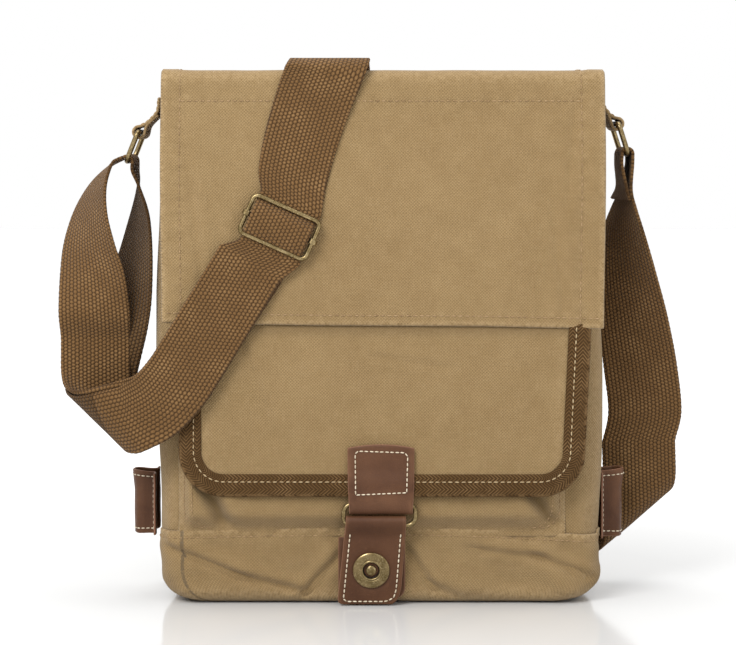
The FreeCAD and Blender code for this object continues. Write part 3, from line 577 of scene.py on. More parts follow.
def build_body():
    zs = np.unique(np.concatenate([np.linspace(1.2, 24, 12), span(24, BODY_H, 98)]))
    P, out = body_points(zs)
    P[..., :2] += out * sag(P, out)[..., None]
    z = P[..., 2]
    uv = join(lengths(P[:, 40])[:, None], z)
    corner = np.abs(out[..., 0] * out[..., 1]) * 2
    # the mouth's edge and the corners are the most rubbed
    wear = smooth(312, BODY_H, z) + 0.45 * corner
    shell = slab("body_shell", P, 2.2, CANVAS, uv, "bag", wrap=True, marks={"wear": wear})
    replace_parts(shell, "front_panel", "back_panel", "gusset_left", "gusset_right")
    lined = zs > 4.0
    inner = P[:, lined].copy()
    inner[..., :2] -= out[:, lined] * 2.7
    liner = slab("lining_shell", inner, 0.5, CANVAS_IN, uv[:, lined], "bag", wrap=True)
    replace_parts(liner, "lining")
    build_floor_pieces()
    build_band()
    ring_stitches("mouth_stitches", P[:, np.argmin(np.abs(zs - 306.0))], out[:, 0], 0.15)


def ring_stitches(name, ring, out, lift):
    """A row of thread all round the body."""
    N = np.concatenate([out, np.zeros((len(out), 1))], 1)
    ring, N = (np.concatenate([rows, rows[:1]]) for rows in (ring, N))
    stitches(name, ring + N * lift, N, THREAD)


def plate(half_w, half_d, r, reach, counts, z):
    """Grid of a flat plate with rounded corners, from -reach to reach in Y."""
    across, along = counts
    rows = []
    for y in np.linspace(-reach, reach, along):
        t = abs(y) - (half_d - r)
        a = half_w if t <= 0 else half_w - r + math.sqrt(max(r * r - t * t, 0.01))
        rows.append([(a * (2 * k / (across - 1) - 1), y, z) for k in range(across)])
    return np.array(rows).transpose(1, 0, 2)


def build_floor_pieces():
    P = plate(118.0, 33.6, 12.0, 33.5, (60, 22), 0.0)
    under = slab("base_cloth", P, 1.6, CANVAS, P[..., :2], "bag", flip=True, marks={"wear": 0.3})
    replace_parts(under, "base_panel")
    Q = plate(113.0, 30.0, 8.0, 29.9, (30, 12), 5.2)
    board = slab("stiffener", Q, 2.2, BOARD, Q[..., :2], "bag")
    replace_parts(board, "base_board")


# height of the base band's top edge along the front
BAND_TOP_X = [-135, -60, 0, 60, 135]
BAND_TOP_Z = [43.6, 45.2, 46.4, 44.8, 40.6]
# creases of the base band's front: two (x, z) ends and a depth
BAND_FOLDS = [((-127, 33), (-84, 16), 2.6), ((-84, 16), (-50, 8), 2.4), ((-48, 2), (-26, 28), 2.2),
              ((18, 30), (31, 11), 2.2), ((31, 11), (46, 4), 1.6), ((60, 32), (96, 28), 1.7),
              ((96, 28), (128, 15), 2.4)]


def creases(x, z, folds):
    """Sum of dents, each with a soft ridge on its upper side."""
    total = 0 * x
    for (x0, z0), (x1, z1), depth in folds:
        run = math.hypot(x1 - x0, z1 - z0)
        dx, dz = (x1 - x0) / run, (z1 - z0) / run
        t = (x - x0) * dx + (z - z0) * dz
        off = (z - z0) * dx - (x - x0) * dz
        beyond = np.maximum(np.abs(t - run / 2) - run / 2, 0)
        total += depth * bump(beyond, 0, 6.0) * (0.7 * bump(off, 5.0, 4.0) - bump(off, 0, 2.6))
    return total


def build_band():
    """The wrap-around base band, slumped and creased, with a puckered hem."""
    low = 0.6
    steps = span(0, 1, 34)
    P, out = body_points(np.linspace(low, 44.0, len(steps)), BAND_GROW, BAND_COUNTS)
    facing = (out[..., 1] < -0.3).astype(float)
    top = np.interp(P[..., 0], BAND_TOP_X, BAND_TOP_Z) * facing + 43.0 * (1 - facing)
    P[..., 2] = low + (top - low) * steps[None, :]
    for j in range(P.shape[1]):
        ring, _ = body_points([float(P[:, j, 2].mean())], BAND_GROW, BAND_COUNTS)
        P[:, j, :2] = ring[:, 0, :2]
    P[..., :2] += out * (sag(P, out) * 0.8 + 0.5)[..., None]
    x, z = P[..., 0], P[..., 2]
    along = np.where(np.abs(out[..., 1]) > 0.6, x, P[..., 1])
    hem = bump(z, top - 3.0, 4.0)
    pucker = 0.42 * np.sin(along / 1.9 + 3 * wobble(P, 24.0, 5)) * hem
    slump = 1.5 * np.sin(along / 9.0 + z / 7.0 + 4 * wobble(P, 40.0, 6)) * smooth(2, 12, z)
    slump *= (1 - smooth(30, 42, z)) * smooth(0.0, 0.5, wobble(P, 70.0, 7) + 0.45)
    slump -= 1.4 * np.maximum(wobble(P * vec(0.55, 1, 1.4), 17.0, 44), 0) ** 0.8 * smooth(1, 8, z)
    folds = creases(x, z, BAND_FOLDS) * smooth(0.5, 0.9, -out[..., 1]) * smooth(0.5, 5.0, z)
    P[..., :2] += out * (pucker + slump + folds)[..., None]
    # each canvas piece has its own offset in U and V, so that no two show the same slubs
    uv = join(lengths(P[:, 6])[:, None], z)
    wear = smooth(2.6, 0.3, top - z) + 0.9 * bump(z, 4, 5.0) + 0.3 * hem
    band = slab("base_band_cloth", P, 1.5, CANVAS, uv + 400.0, "bag", wrap=True,
                marks={"wear": wear})
    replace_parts(band, "base_band")
    ring_stitches("base_band_stitches", P[:, -4], out[:, 0], 0.1)


# ---------------------------------------------------------------- pocket
# the pocket's left, right, lower and upper edge
PX0, PX1, PZ0, PZ1 = -121.5, 112.0, 41.0, 164.0


def pocket_surface(x, z):
    """The bellows pocket's front: pinned at its edges, puffed in the middle, pinched at the low corners."""
    wall = wall_y(z) - 1.0
    plane = flap_pt(x, z, -5.3)[..., 1]
    low = 0.12 + 0.88 * smooth(1.0, 13.0, z - PZ0 - 2.0)
    lift = smooth(0, 9.0, x - PX0) * smooth(0, 9.0, PX1 - x) * low
    p = join(x, 0, z)
    fold_l = bump(x + (z - 66) * 0.55, -103, 5.0) * smooth(112, 62, z) * smooth(44, 54, z)
    fold_r = bump(x + (z - 62) * 0.62, 96, 5.0) * smooth(104, 60, z) * smooth(44, 54, z)
    ridge_l = bump(x + (z - 66) * 0.5, -92, 5.5) * smooth(110, 66, z) * smooth(44, 56, z)
    y = wall + (plane - wall) * lift + 7.0 * fold_l + 6.6 * fold_r - 1.6 * ridge_l
    y += 1.0 * wobble(p, 42.0, 8) * lift + 0.6 * wobble(p, 16.0, 9)
    y += 0.35 * np.sin(x / 2.0 + 2 * wobble(p, 25.0, 3)) * bump(z, 48, 6.0)
    return join(x, y, z), np.maximum(fold_l, fold_r)


def build_pocket():
    xs = span(PX0, PX1, 150)
    zs = span(PZ0, PZ1, 84)
    X, Z = np.meshgrid(xs, zs, indexing="ij")
    P, fold = pocket_surface(X, Z)
    edge = np.minimum(X - PX0, PX1 - X)
    wear = smooth(5.0, 0.5, edge) * 0.8 + smooth(161, 164, Z) + 0.3 * smooth(54, 46, Z)
    # painted shade: the bellows folds at the low corners are darkened through the "shade" mark
    pocket = slab("pocket_cloth", P, 1.5, CANVAS, join(X, Z) + 90.0, "bag",
                  marks={"wear": wear, "shade": 0.55 * fold})
    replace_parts(pocket, "pocket_panel", "pocket_gusset_left", "pocket_gusset_right", "pocket_floor",
                "pocket_hem")
    runs, norms = [], []

    def sew(x, z, lift, normal):
        runs.append(pocket_surface(x, z)[0] - vec(0, lift, 0))
        norms.append(normal)

    # down both sides and round the lower corners, then the two rows along the hem
    corner_r, corner_z = 12.0, 58.0
    turn = np.linspace(0, math.pi / 2, 10)[1:]
    z = np.concatenate([np.linspace(163, corner_z, 60), corner_z - corner_r * np.sin(turn)])
    in_by = np.concatenate([np.zeros(60), corner_r * (1 - np.cos(turn))])
    for inset in (3.2, 8.2):
        sew(PX0 + inset + in_by, z, 0.25, vec(-0.4, -0.9, 0))
        sew(PX1 - inset - in_by, z, 0.25, vec(0.4, -0.9, 0))
    x = np.linspace(PX0 + 4, PX1 - 4, 120)
    for level in (151.0, 160.5):
        sew(x, 0 * x + level, 0.2, vec(0, -1, 0))
    stitches("pocket_stitches", runs, norms, THREAD)


# ---------------------------------------------------------------- flap
# where the flap starts behind the mouth, and its bend over the front edge
REAR_Y, BEND_R = 23.0, 7.5
# the yoke: its length along the cloth, the heights of its two cross seams, its sides and their seams
YOKE_LENGTH, TOP_SEAM, HEM_SEAM = 210.0, 303.6, 175.5
YOKE_X0, YOKE_X1 = -130.5, 134.0
YOKE_SEAM_X0, YOKE_SEAM_X1 = -120.0, 120.6
# creases of the flap: two (x, z) ends and a depth
FLAP_FOLDS = [((-112, 246), (-105, 176), 1.1), ((-121, 300), (-112, 250), 0.8), ((-96, 226), (-90, 184), 0.7),
              ((117, 300), (112, 240), 0.8), ((104, 236), (111, 180), 0.9), ((-84, 160), (-64, 104), 0.9),
              ((-26, 312), (-10, 288), 0.6), ((58, 312), (74, 290), 0.6), ((-2, 150), (40, 144), 0.5)]


def yoke_path(s):
    """(y, z) and a 3-D normal at a length s from the rear edge, over the mouth and down the front."""
    s = np.asarray(s, float)
    bend = math.pi / 2 - ANG
    top_len = REAR_Y - (FLAP_Y + BEND_R * math.tan(bend / 2))
    t = np.clip((s - top_len) / BEND_R, 0, bend)
    down = np.maximum(s - top_len - BEND_R * bend, 0)
    over = s < top_len
    y = np.where(over, REAR_Y - s, REAR_Y - top_len - BEND_R * np.sin(t)) - down * math.sin(ANG)
    z = np.where(over, CREST, CREST - BEND_R + BEND_R * np.cos(t)) - down * math.cos(ANG)
    return y, z, join(0, -np.sin(t), np.cos(t))


def flap_wave(x, z):
    """The flap's slow waves and creases, outwards."""
    p = join(x, 0, z)
    slow = 0.9 * wobble(p, 85.0, 11) + 0.6 * wobble(p * vec(1.3, 1, 0.6), 30.0, 12)
    low = 0.8 * np.sin(x / 38.0 + 0.7) * smooth(240, 170, z)
    edge = 0.8 * smooth(112, 133, np.abs(x)) * np.sin(z / 19.0)
    return slow + low + edge + creases(x, z, FLAP_FOLDS)


def on_grid(grid, s, x, at_s, at_x):
    """Points of a grid with rows at s and columns at x, read between its points."""
    i = np.interp(at_s, s, np.arange(len(s)))
    j = np.interp(at_x, x, np.arange(len(x)))
    i0 = i.astype(int).clip(0, len(s) - 2)
    j0 = j.astype(int).clip(0, len(x) - 2)
    fi, fj = (i - i0)[:, None], (j - j0)[:, None]
    near, far = (grid[i0, k] * (1 - fi) + grid[i0 + 1, k] * fi for k in (j0, j0 + 1))
    return near * (1 - fj) + far * fj


def build_yoke():
    """The flap's outer upper panel, from behind the mouth, over it and down to the hem."""
    length = YOKE_LENGTH
    s = span(0, length, 150)
    x = span(YOKE_X0, YOKE_X1, 150)
    S, X = np.meshgrid(s, x, indexing="ij")
    y, z, N = yoke_path(S)
    hem_drop = np.interp(X, [-130, -40, 60, 134], [3.0, 1.6, 1.0, -0.6])
    z = z + hem_drop * smooth(length - 40, length, S)
    P = join(X * (1 + 0.004 * np.sin(z / 33.0)), y, z)
    wave = flap_wave(X, z) * smooth(322, 300, z)
    top = 0.9 * wobble(join(X, y, 0), 40.0, 13) * smooth(318, 322, z)
    sides = bump(X, YOKE_SEAM_X0, 4.5) + bump(X, YOKE_SEAM_X1, 4.5)
    seams = bump(z, TOP_SEAM, 4.5) + bump(z, HEM_SEAM, 4.5)
    pucker = 0.28 * np.sin(z / 1.7 + 3 * wobble(P, 20.0, 14)) * sides
    pucker += 0.26 * np.sin(X / 1.8 + 3 * wobble(P, 22.0, 15)) * seams
    welt = 0.5 * smooth(-2.5, -0.5, np.abs(X - 2) - 124) + 0.35 * (z > 304.6) * (z < 321)
    P = P + N * (wave + top + pucker + welt)[..., None]
    edge = np.minimum(np.minimum(X - YOKE_X0, YOKE_X1 - X), length - S)
    wear = smooth(3.0, 0.2, edge) + 0.4 * smooth(0.12, 0.3, np.abs(pucker)) + 0.5 * bump(z, 318, 4.0)
    cloth = slab("flap_yoke_cloth", P, 2.3, CANVAS, join(X, S) + 700.0, "flap", normals=N,
                 marks={"wear": wear})
    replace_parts(cloth, "flap_yoke")
    seam_s = float(np.interp(-TOP_SEAM, -yoke_path(s)[1], s))
    down = np.linspace(2, length - 1, 120)
    runs, norms = [], []
    for xs, ss in ((np.full(120, YOKE_SEAM_X0), down), (np.full(120, YOKE_SEAM_X1), down),
                   (np.linspace(YOKE_SEAM_X0, YOKE_SEAM_X1, 160), np.full(160, seam_s)),
                   (np.linspace(-129, 132.5, 160), np.full(160, length - 5.2))):
        norms.append(on_grid(N, s, x, ss, xs))
        runs.append(on_grid(P, s, x, ss, xs) + norms[-1] * 0.1)
    stitches("flap_yoke_stitches", runs, norms, THREAD, body="flap", pitch=3.9, length=2.8)


# the lower panel: its left and right edges, its bottom, its corner radius, and its top, under the yoke
LX0, LX1, LZ0, LR, LZ1 = -121.0, 127.0, 66.6, 27.0, 172.0


def lower_edge(side, z):
    """X of the lower panel's left (-1) or right (1) edge at a height, with its rounded bottom corner."""
    rise = np.maximum(LZ0 + LR - z, 0)
    round_in = np.where(z < LZ0 + LR, LR - np.sqrt(np.maximum(LR ** 2 - rise ** 2, 0)), 0)
    # the right edge is pulled in as it hangs
    lean = np.interp(z, [66, 95, 168], [-3.5, -3.5, 0.0])
    return LX0 + round_in if side < 0 else LX1 + lean - round_in


def build_lower():
    inset, z_top = 4.0, 176
    z_low = LZ0 + inset
    corner = z_low + LR * (1 - np.cos(span(0, math.pi / 2, 26)))
    zs = np.concatenate([corner, span(z_low + LR + 2, z_top, 60)])
    Z = np.unique(np.clip(zs, z_low, z_top))[None, :]
    t = span(0, 1, 130)[:, None]
    left, right = lower_edge(-1, Z) + inset, lower_edge(1, Z) - inset
    X = left + (right - left) * t
    Z = Z + 0 * t
    P = flap_pt(X, Z, -1.9 + flap_wave(X, Z) - 1.2 * smooth(166, 172, Z))
    edge = np.minimum(X - left, right - X)
    wear = 0.35 * smooth(18, 12, np.minimum(edge, Z - LZ0)) + 0.3 * smooth(160, 166, Z)
    # painted shadow: the top of the lower panel, under the yoke's hem, is darkened through the "shade" mark
    cloth = slab("flap_lower_cloth", P, 1.7, CANVAS, join(X, Z) + 1500.0, "flap",
                 marks={"wear": wear, "shade": 0.5 * smooth(160, 168, Z)})
    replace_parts(cloth, "flap_lower_panel")
    build_binding()


def binding_path():
    """The flap's bound edge, from the yoke at the left, round the bottom, to the yoke at the right."""
    z_turn = LZ0 + LR
    x1 = float(lower_edge(1, z_turn))
    zs = np.linspace(LZ1, z_turn, 40)
    turn = np.linspace(0, math.pi / 2, 16)[1:]
    pieces = [join(lower_edge(-1, zs), zs),
              join(LX0 + LR - LR * np.cos(turn), z_turn - LR * np.sin(turn)),
              join(np.linspace(LX0 + LR, x1 - LR, 80)[1:], LZ0),
              join(x1 - LR + LR * np.sin(turn), z_turn - LR * np.cos(turn)),
              join(lower_edge(1, zs[::-1]), zs[::-1])[1:]]
    return resample(np.concatenate(pieces), 1.6 * STEP)


def build_binding():
    """Herringbone tape folded over the flap's edge."""
    path, s = binding_path()
    d = unit(np.gradient(path, axis=0))
    inward = join(-d[:, 1], d[:, 0])
    inward *= np.sign((inward * (vec(2, 140) - path)).sum(1))[:, None]
    # the tape's section: how far in from the edge, and how far out from the flap
    section = [(13.6, -1.1), (13.2, -0.55), (12.0, -0.35), (7.0, -0.2), (2.0, -0.35), (0.5, -0.9),
               (-0.1, -2.1), (0.5, -3.3), (2.0, -4.0), (8.0, -4.0), (12.0, -3.9), (12.8, -3.4)]
    n, m = len(path), len(section)
    V = np.zeros((n, m, 3))
    for j, (w, out) in enumerate(section):
        x, z = (path + inward * w).T
        quilting = 0.18 * np.sin(s / 1.9 + j) * (1 if 1 < w < 13 else 0.3)
        V[:, j] = flap_pt(x, z, out + flap_wave(x, z) + quilting)
    uv = join(lengths(section)[None, :], s[:, None])
    idx = np.arange(n * m).reshape(n, m)
    faces = tube_faces(idx[:-1], idx[1:]) + [idx[0][::-1], idx[-1]]
    from_edge = np.array(section)[None, :, 0]
    wear = bump(from_edge, 0.3, 1.2) + 0 * s[:, None]
    tape = put("flap_binding_tape", V.reshape(-1, 3), faces, TWILL, uv.reshape(-1, 2), "flap",
               {"wear": wear})
    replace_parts(tape, "flap_binding")
    x, z = (path + inward * 9.0).T
    line = flap_pt(x, z, flap_wave(x, z) - 0.1)
    stitches("flap_binding_stitches", line[line[:, 2] < 170], NORM, PALE_THREAD, body="flap",
             pitch=3.9, length=2.6, radius=0.36)


def tube_faces(a, b):
    """Quads between rows of point numbers and the next rows, each row closed on itself."""
    return list(np.stack([a, np.roll(a, -1, 1), np.roll(b, -1, 1), b], -1).reshape(-1, 4))


def build_flap_back():
    """Cloth backing of the flap, seen when it is open."""
    s = span(0, YOKE_LENGTH - 1.0, 70)
    x = span(-119.0, 119.0, 60)
    S, X = np.meshgrid(s, x, indexing="ij")
    y, z, N = yoke_path(S)
    P = join(X, y, z) + N * (-2.6 + flap_wave(X, z) * smooth(322, 300, z))[..., None]
    liner = slab("flap_backing", P, 0.9, CANVAS_IN, join(X, S), "flap", normals=N)
    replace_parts(liner, "flap_lining")


def build_hinge_cloth():
    """The flap's rear end, sewn down the back of the mouth and turned over it."""
    seams = (299.5, 311.0)
    pts = [(29.9, 296.0), (29.6, 302.0), (29.4, 308.0), (29.3, 313.0), (28.9, 317.0), (27.6, 320.0),
           (25.0, 321.5), (21.0, 321.75), (17.0, 321.75)]
    path, s = resample(catmull(pts, 6), 1.5)
    d = unit(np.gradient(path, axis=0))
    X = span(-126.5, 127.5, 110)[None, :]
    Y, Z = path[:, :1], path[:, 1:]
    P = join(X, Y, Z)
    N = join(0 * X, d[:, 1:], -d[:, :1])
    pucker = 0.2 * np.sin(X / 1.9 + 2 * wobble(P, 25.0, 16)) * sum(bump(Z, seam, 3.0) for seam in seams)
    P = P + N * (pucker * (Y > 26) + 0.3 * wobble(P, 30.0, 17))[..., None]
    wear = smooth(3.0, 0.3, s[:, None]) + 0.6 * bump(Z, 319, 2.5)
    cloth = slab("flap_hinge_cloth", P, 1.5, CANVAS, join(X, s[:, None]), None, normals=N,
                 marks={"wear": wear})
    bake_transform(cloth)
    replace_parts(cloth, "flap_anchor")
    rows = [int(np.argmin(np.abs(path[:, 1] - seam))) for seam in seams]
    stitches("flap_anchor_stitches", [P[j] + N[j] * 0.12 for j in rows], vec(0, 1, 0), THREAD)


build_body()
build_pocket()
build_yoke()
build_lower()
build_flap_back()
build_hinge_cloth()


# ---------------------------------------------------------------- leather closure and snap
# the oval ring's upper bar and the place of the hanging strap's centre line
RING_X, RING_Z, RING_DEEP, LOOSE_X = -0.3, 62.1, 12.6, -2.4
BAR_OUT = -1.25
LOW_BAR = flap_pt(RING_X, RING_Z, BAR_OUT) - vec(0, 0, RING_DEEP)
# the hanging strap: its turn in towards the bag, its sideways slant, and where its snap sits
TAIL_DEG, SLANT, SNAP_DROP = 6.0, 0.09, 28.0
TAIL_L = (LOW_BAR[2] - 0.5) / math.cos(math.radians(TAIL_DEG))


def corner_cut(t, size):
    """Inset of a rounded corner over the last part of an edge, t running 0..1 into the corner."""
    t = np.clip(t, 0, 1)
    return size * (1 - np.sqrt(np.maximum(1 - t * t, 0)))


# the leather loop: its middle, the height of its fold, its top, and the radius of the fold
LOOP_X, LOOP_FOLD_Z, LOOP_TOP, LOOP_R = 0.6, 59.6, 97.6, 3.45


def loop_front(z, x, q):
    """How far out the loop's front leaf lies."""
    out = BAR_OUT + LOOP_R - 0.9 * smooth(74, 84, z) - 0.25 * q * q * smooth(80, 95, z)
    return out + flap_wave(x, z) * smooth(64, 78, z)


def build_loop():
    """Leather loop: a front leaf sewn to the flap, folded round the ring's bar and up behind the flap."""
    n = int(60 / STEP)
    q = span(-1, 1, 40)
    up = vec(0, math.sin(ANG), math.cos(ANG))
    grid, norms = [], []
    for f in np.arange(n) / (n - 1):
        if f < 0.55:
            top = LOOP_TOP - 2.0 * q * q
            z = top + (LOOP_FOLD_Z - top) * f / 0.55
            x = LOOP_X + q * np.interp(z, [59, 74, 97], [18.5, 19.3, 19.5])
            row, normal = flap_pt(x, z, loop_front(z, x, q)), NORM
        elif f < 0.8:
            turn = math.pi * (f - 0.55) / 0.25
            normal = NORM * math.cos(turn) - up * math.sin(turn)
            row = flap_pt(LOOP_X + q * 18.5, LOOP_FOLD_Z, BAR_OUT) + normal * LOOP_R
        else:
            z = LOOP_FOLD_Z + 24 * (f - 0.8) / 0.2
            row, normal = flap_pt(LOOP_X + q * 18.6, z, BAR_OUT - LOOP_R), -NORM
        grid.append(row)
        norms.append(normal + 0 * row)
    P, N = np.array(grid), np.array(norms)
    P = P + N * (0.12 * wobble(P, 9.0, 21))[..., None]
    along = np.linspace(0, 78, n)[:, None]
    wear = 0.5 * smooth(0.8, 1.0, np.abs(q))[None, :] + 0.4 * bump(along, 36, 5.0)
    loop = slab("closure_loop_leather", P, 1.5, LEATHER, join(P[..., 0], along), "flap", normals=N,
                marks={"wear": wear})
    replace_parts(loop, "closure_loop")
    corners = [(-14.6, 68.0), (-14.9, 92.6), (-13.4, 94.2), (14.6, 93.3), (16.6, 91.4), (16.0, 69.4),
               (-14.6, 68.0)]
    line = []
    for here, there in zip(corners, corners[1:]):
        steps = max(2, int(math.dist(here, there)))
        line += [vec(*here) + (vec(*there) - vec(*here)) * i / steps for i in range(steps)]
    x, z = np.array(line + [corners[-1]]).T
    stitches("closure_loop_stitches", flap_pt(x, z, loop_front(z, x, 0) + 0.08), NORM, CREAM, body="flap",
             pitch=3.0, length=2.35, radius=0.36)


def tail_place(P):
    """Points of the hanging strap's own frame, turned in towards the bag, on the ring's lower bar."""
    return tail_turn(P) + vec(LOOSE_X, LOW_BAR[1], LOW_BAR[2])


def tail_turn(N):
    a = math.radians(TAIL_DEG)
    turn = np.array([[1, 0, 0], [0, math.cos(a), -math.sin(a)], [0, math.sin(a), math.cos(a)]])
    return N @ turn.T


def tail_sides(z):
    """Left and right edges of the strap at a height in its own frame."""
    near = -TAIL_L - z
    left = -18.0 + SLANT * 1.12 * z + corner_cut(1 + near / 3.2, 2.4)
    right = 17.9 + SLANT * 0.86 * z - corner_cut(1 + near / 11.0, 5.6)
    return left, right


def tail_bow(z):
    """The front leaf's gentle bow, at a depth z below the bar."""
    return 0.15 - 0.3 * np.sin(z / TAIL_L * 3.0)


def tail_path():
    """Rows (y, z, normal y, normal z): up the front leaf, over the ring's bar, and down the back leaf."""
    fold_r, slack, back_y = 3.5, 2.5, 3.4
    rounding = 1 - 0.12 * (1 - np.cos(span(0, math.pi / 2, 16)))
    low = TAIL_L * np.concatenate([rounding, span(0.86, 0.17, 34)])
    front = join(tail_bow(low), -low, -1, 0)
    a = np.linspace(0, 1, 8)[1:]
    ease = smooth(0, 1, a)
    rise = join(front[-1, 0] * (1 - ease) - fold_r * ease, -low[-1] + (slack + low[-1]) * a, -1, 0)
    t = np.linspace(0, math.pi, 12)[1:]
    over = join(-fold_r * np.cos(t), slack + fold_r * np.sin(t), -np.cos(t), np.sin(t))
    back = join(back_y, -low[::-1], 1, 0)
    return np.concatenate([front, rise, over, back])


def build_tail():
    """Two leaves of leather folded over the ring's lower bar and stitched round the edge."""
    path = tail_path()
    t = span(0, 1, 40)[None, :]
    y, z, ny, nz = path.T[..., None]
    left, right = tail_sides(np.minimum(z, 0.0))
    # the strap is a little narrower where it wraps the ring
    waist = 0.3 * (z > -6)
    left, right = left + waist, right - waist
    P = join(left + (right - left) * t, y, z)
    N = join(0 * t, ny, nz)
    P = P + N * (0.14 * wobble(P, 8.0, 23))[..., None]
    from_snap = np.hypot(P[..., 0] + SLANT * SNAP_DROP, P[..., 2] + SNAP_DROP)
    P[..., 1] += np.where(ny < 0, 0.5 * smooth(14, 10.5, from_snap), 0)
    s = lengths(path[:, :2])[:, None]
    edge = np.minimum(t, 1 - t) * 36
    wear = 0.6 * smooth(2.2, 0.3, edge) + 0.3 * bump(s, s.mean(), 5.0)
    tail = slab("closure_strap_leather", tail_place(P), 1.5, LEATHER, join(P[..., 0], s), "closure_strap",
                normals=tail_turn(N), marks={"wear": wear}, round_edge=0.3)
    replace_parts(tail, "closure_strap")
    down = np.linspace(-5.0, 3.0 - TAIL_L, 60)
    rise = np.linspace(4.0 - TAIL_L, -5.0, 60)
    low_z = 1.7 - TAIL_L
    corner_x = tail_sides(2.5 - TAIL_L)[0] + 5.0
    bottom_x = np.linspace(corner_x + 1, tail_sides(1 - TAIL_L)[1] - 4.5, 30)
    route = [join(tail_sides(down)[0] + 3.0, down), [(corner_x, low_z)], join(bottom_x, low_z),
             join(tail_sides(rise)[1] - 2.6, rise)]
    x, z = np.concatenate(route).T
    line = join(x, tail_bow(-z) - 3.3 * smooth(-0.17 * TAIL_L, 0, z) * 0.9, z)
    M = tail_turn(0 * line - vec(0, 1, 0))
    stitches("closure_strap_stitches", tail_place(line) + M * 0.05, M, CREAM, body="closure_strap",
             pitch=3.1, length=2.45, radius=0.4)


def lathe(name, profile, place, mat, body, segments, ring=False):
    """Turned part: a (radius, height) profile spun about the local -Y axis; a ring's profile is closed."""
    seg = segments
    r, h = np.array(profile, float).T[:, None, :]
    a = (np.arange(seg) * 2 * math.pi / seg)[:, None]
    P = join(r * np.cos(a), -h, r * np.sin(a)).reshape(-1, 3)
    idx = np.arange(len(P)).reshape(seg, -1)
    after = np.roll(idx, -1, 0)
    if ring:
        faces = tube_faces(idx, after)
    else:
        quad = np.stack([idx[:, :-1], idx[:, 1:], after[:, 1:], after[:, :-1]], -1).reshape(-1, 4)
        faces = list(quad) + [idx[:, 0], idx[::-1, -1]]
    uv = join(a * 8, r).reshape(-1, 2)
    return put(name, place(P), faces, mat, uv, body)


def rounded(points, r):
    """Closed profile with every corner rounded a little."""
    out = []
    for i, here in enumerate(points):
        p, a, b = vec(*here), vec(*points[i - 1]), vec(*points[(i + 1) % len(points)])
        da, db = np.linalg.norm(a - p), np.linalg.norm(b - p)
        k = min(r, 0.45 * da, 0.45 * db)
        s, e = p + (a - p) / da * k, p + (b - p) / db * k
        for t in np.linspace(0, 1, 5):
            out.append(tuple(s * (1 - t) ** 2 + 2 * p * t * (1 - t) + e * t * t))
    return out


def build_snap():
    """Socket ring and spring in the hanging strap, and the stud behind them on the bag."""
    drop = vec(-SLANT * SNAP_DROP - 0.35, 0, -SNAP_DROP)
    centre = tail_place(drop)

    def on_tail(P):
        return tail_place(P + drop)

    def on_stud(P):
        return P + centre

    # profiles are (radius, how far out)
    socket = rounded([(5.0, -3.2), (6.0, -3.2), (6.0, -0.3), (11.0, -0.3), (11.1, 0.55), (10.3, 1.1),
                      (6.9, 1.35), (6.3, 1.0), (5.9, 1.45), (5.2, 1.3), (4.75, 0.5), (4.75, -2.9)], 0.28)
    spring = rounded([(4.3, -2.6), (4.72, -2.6), (4.72, 0.2), (4.3, -0.1)], 0.1)
    for name, profile, mat in (("snap_socket_ring", socket, BRASS), ("snap_socket_spring", spring, STEEL)):
        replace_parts(lathe(name, profile, on_tail, mat, "closure_strap", 72, ring=True), "snap_socket")
    knob = [(2.1, -11.2), (2.2, -2.4), (2.5, -1.2), (3.1, -0.5), (3.3, 0.2), (3.05, 0.9), (2.3, 1.35),
            (1.2, 1.55), (0.02, 1.6)]
    foot = [(5.5, -12.2), (5.6, -11.6), (5.0, -11.1), (2.0, -10.9), (0.02, -10.9)]
    for name, profile in (("snap_stud_knob", knob), ("snap_stud_foot", foot)):
        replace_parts(lathe(name, profile, on_stud, BRASS, "bag", 64), "snap_stud")


def build_tab():
    """Leather tab under the snap, sewn to the base band."""
    low, high, off_wall = 3.4, 40.0, 3.75
    z = span(low, high, 40)[None, :]
    t = span(0, 1, 40)[:, None]
    cut = corner_cut(1 - (z - low) / 7.0, 6.0)
    x0, x1 = -24.5 + cut, 14.6 - cut
    P = join(x0 + (x1 - x0) * t, wall_y(z) - off_wall, z)
    P[..., 1] += 0.25 * wobble(P, 14.0, 27) + 0.9 * smooth(34, high, P[..., 2])
    tab = slab("snap_tab_leather", P, 1.6, LEATHER, P[..., [0, 2]], "bag",
               marks={"wear": 0.4 * smooth(8, 4, z)})
    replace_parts(tab, "snap_tab")
    down = np.linspace(38, 9, 20)
    x, z = np.concatenate([join(-21.5, down), join(np.linspace(-18, 8, 20), 6.2), join(11.8, down[::-1])]).T
    stitches("snap_tab_stitches", join(x, wall_y(z) - off_wall, z), vec(0, -1, 0), CREAM,
             pitch=3.1, length=2.4)


# ---------------------------------------------------------------- side loops and ring tabs
# by side: how far out the wall is, and the loop's lower and upper edge
SIDE_LOOPS = {-1: (137.2, 38.4, 75.6), 1: (135.4, 36.4, 76.4)}


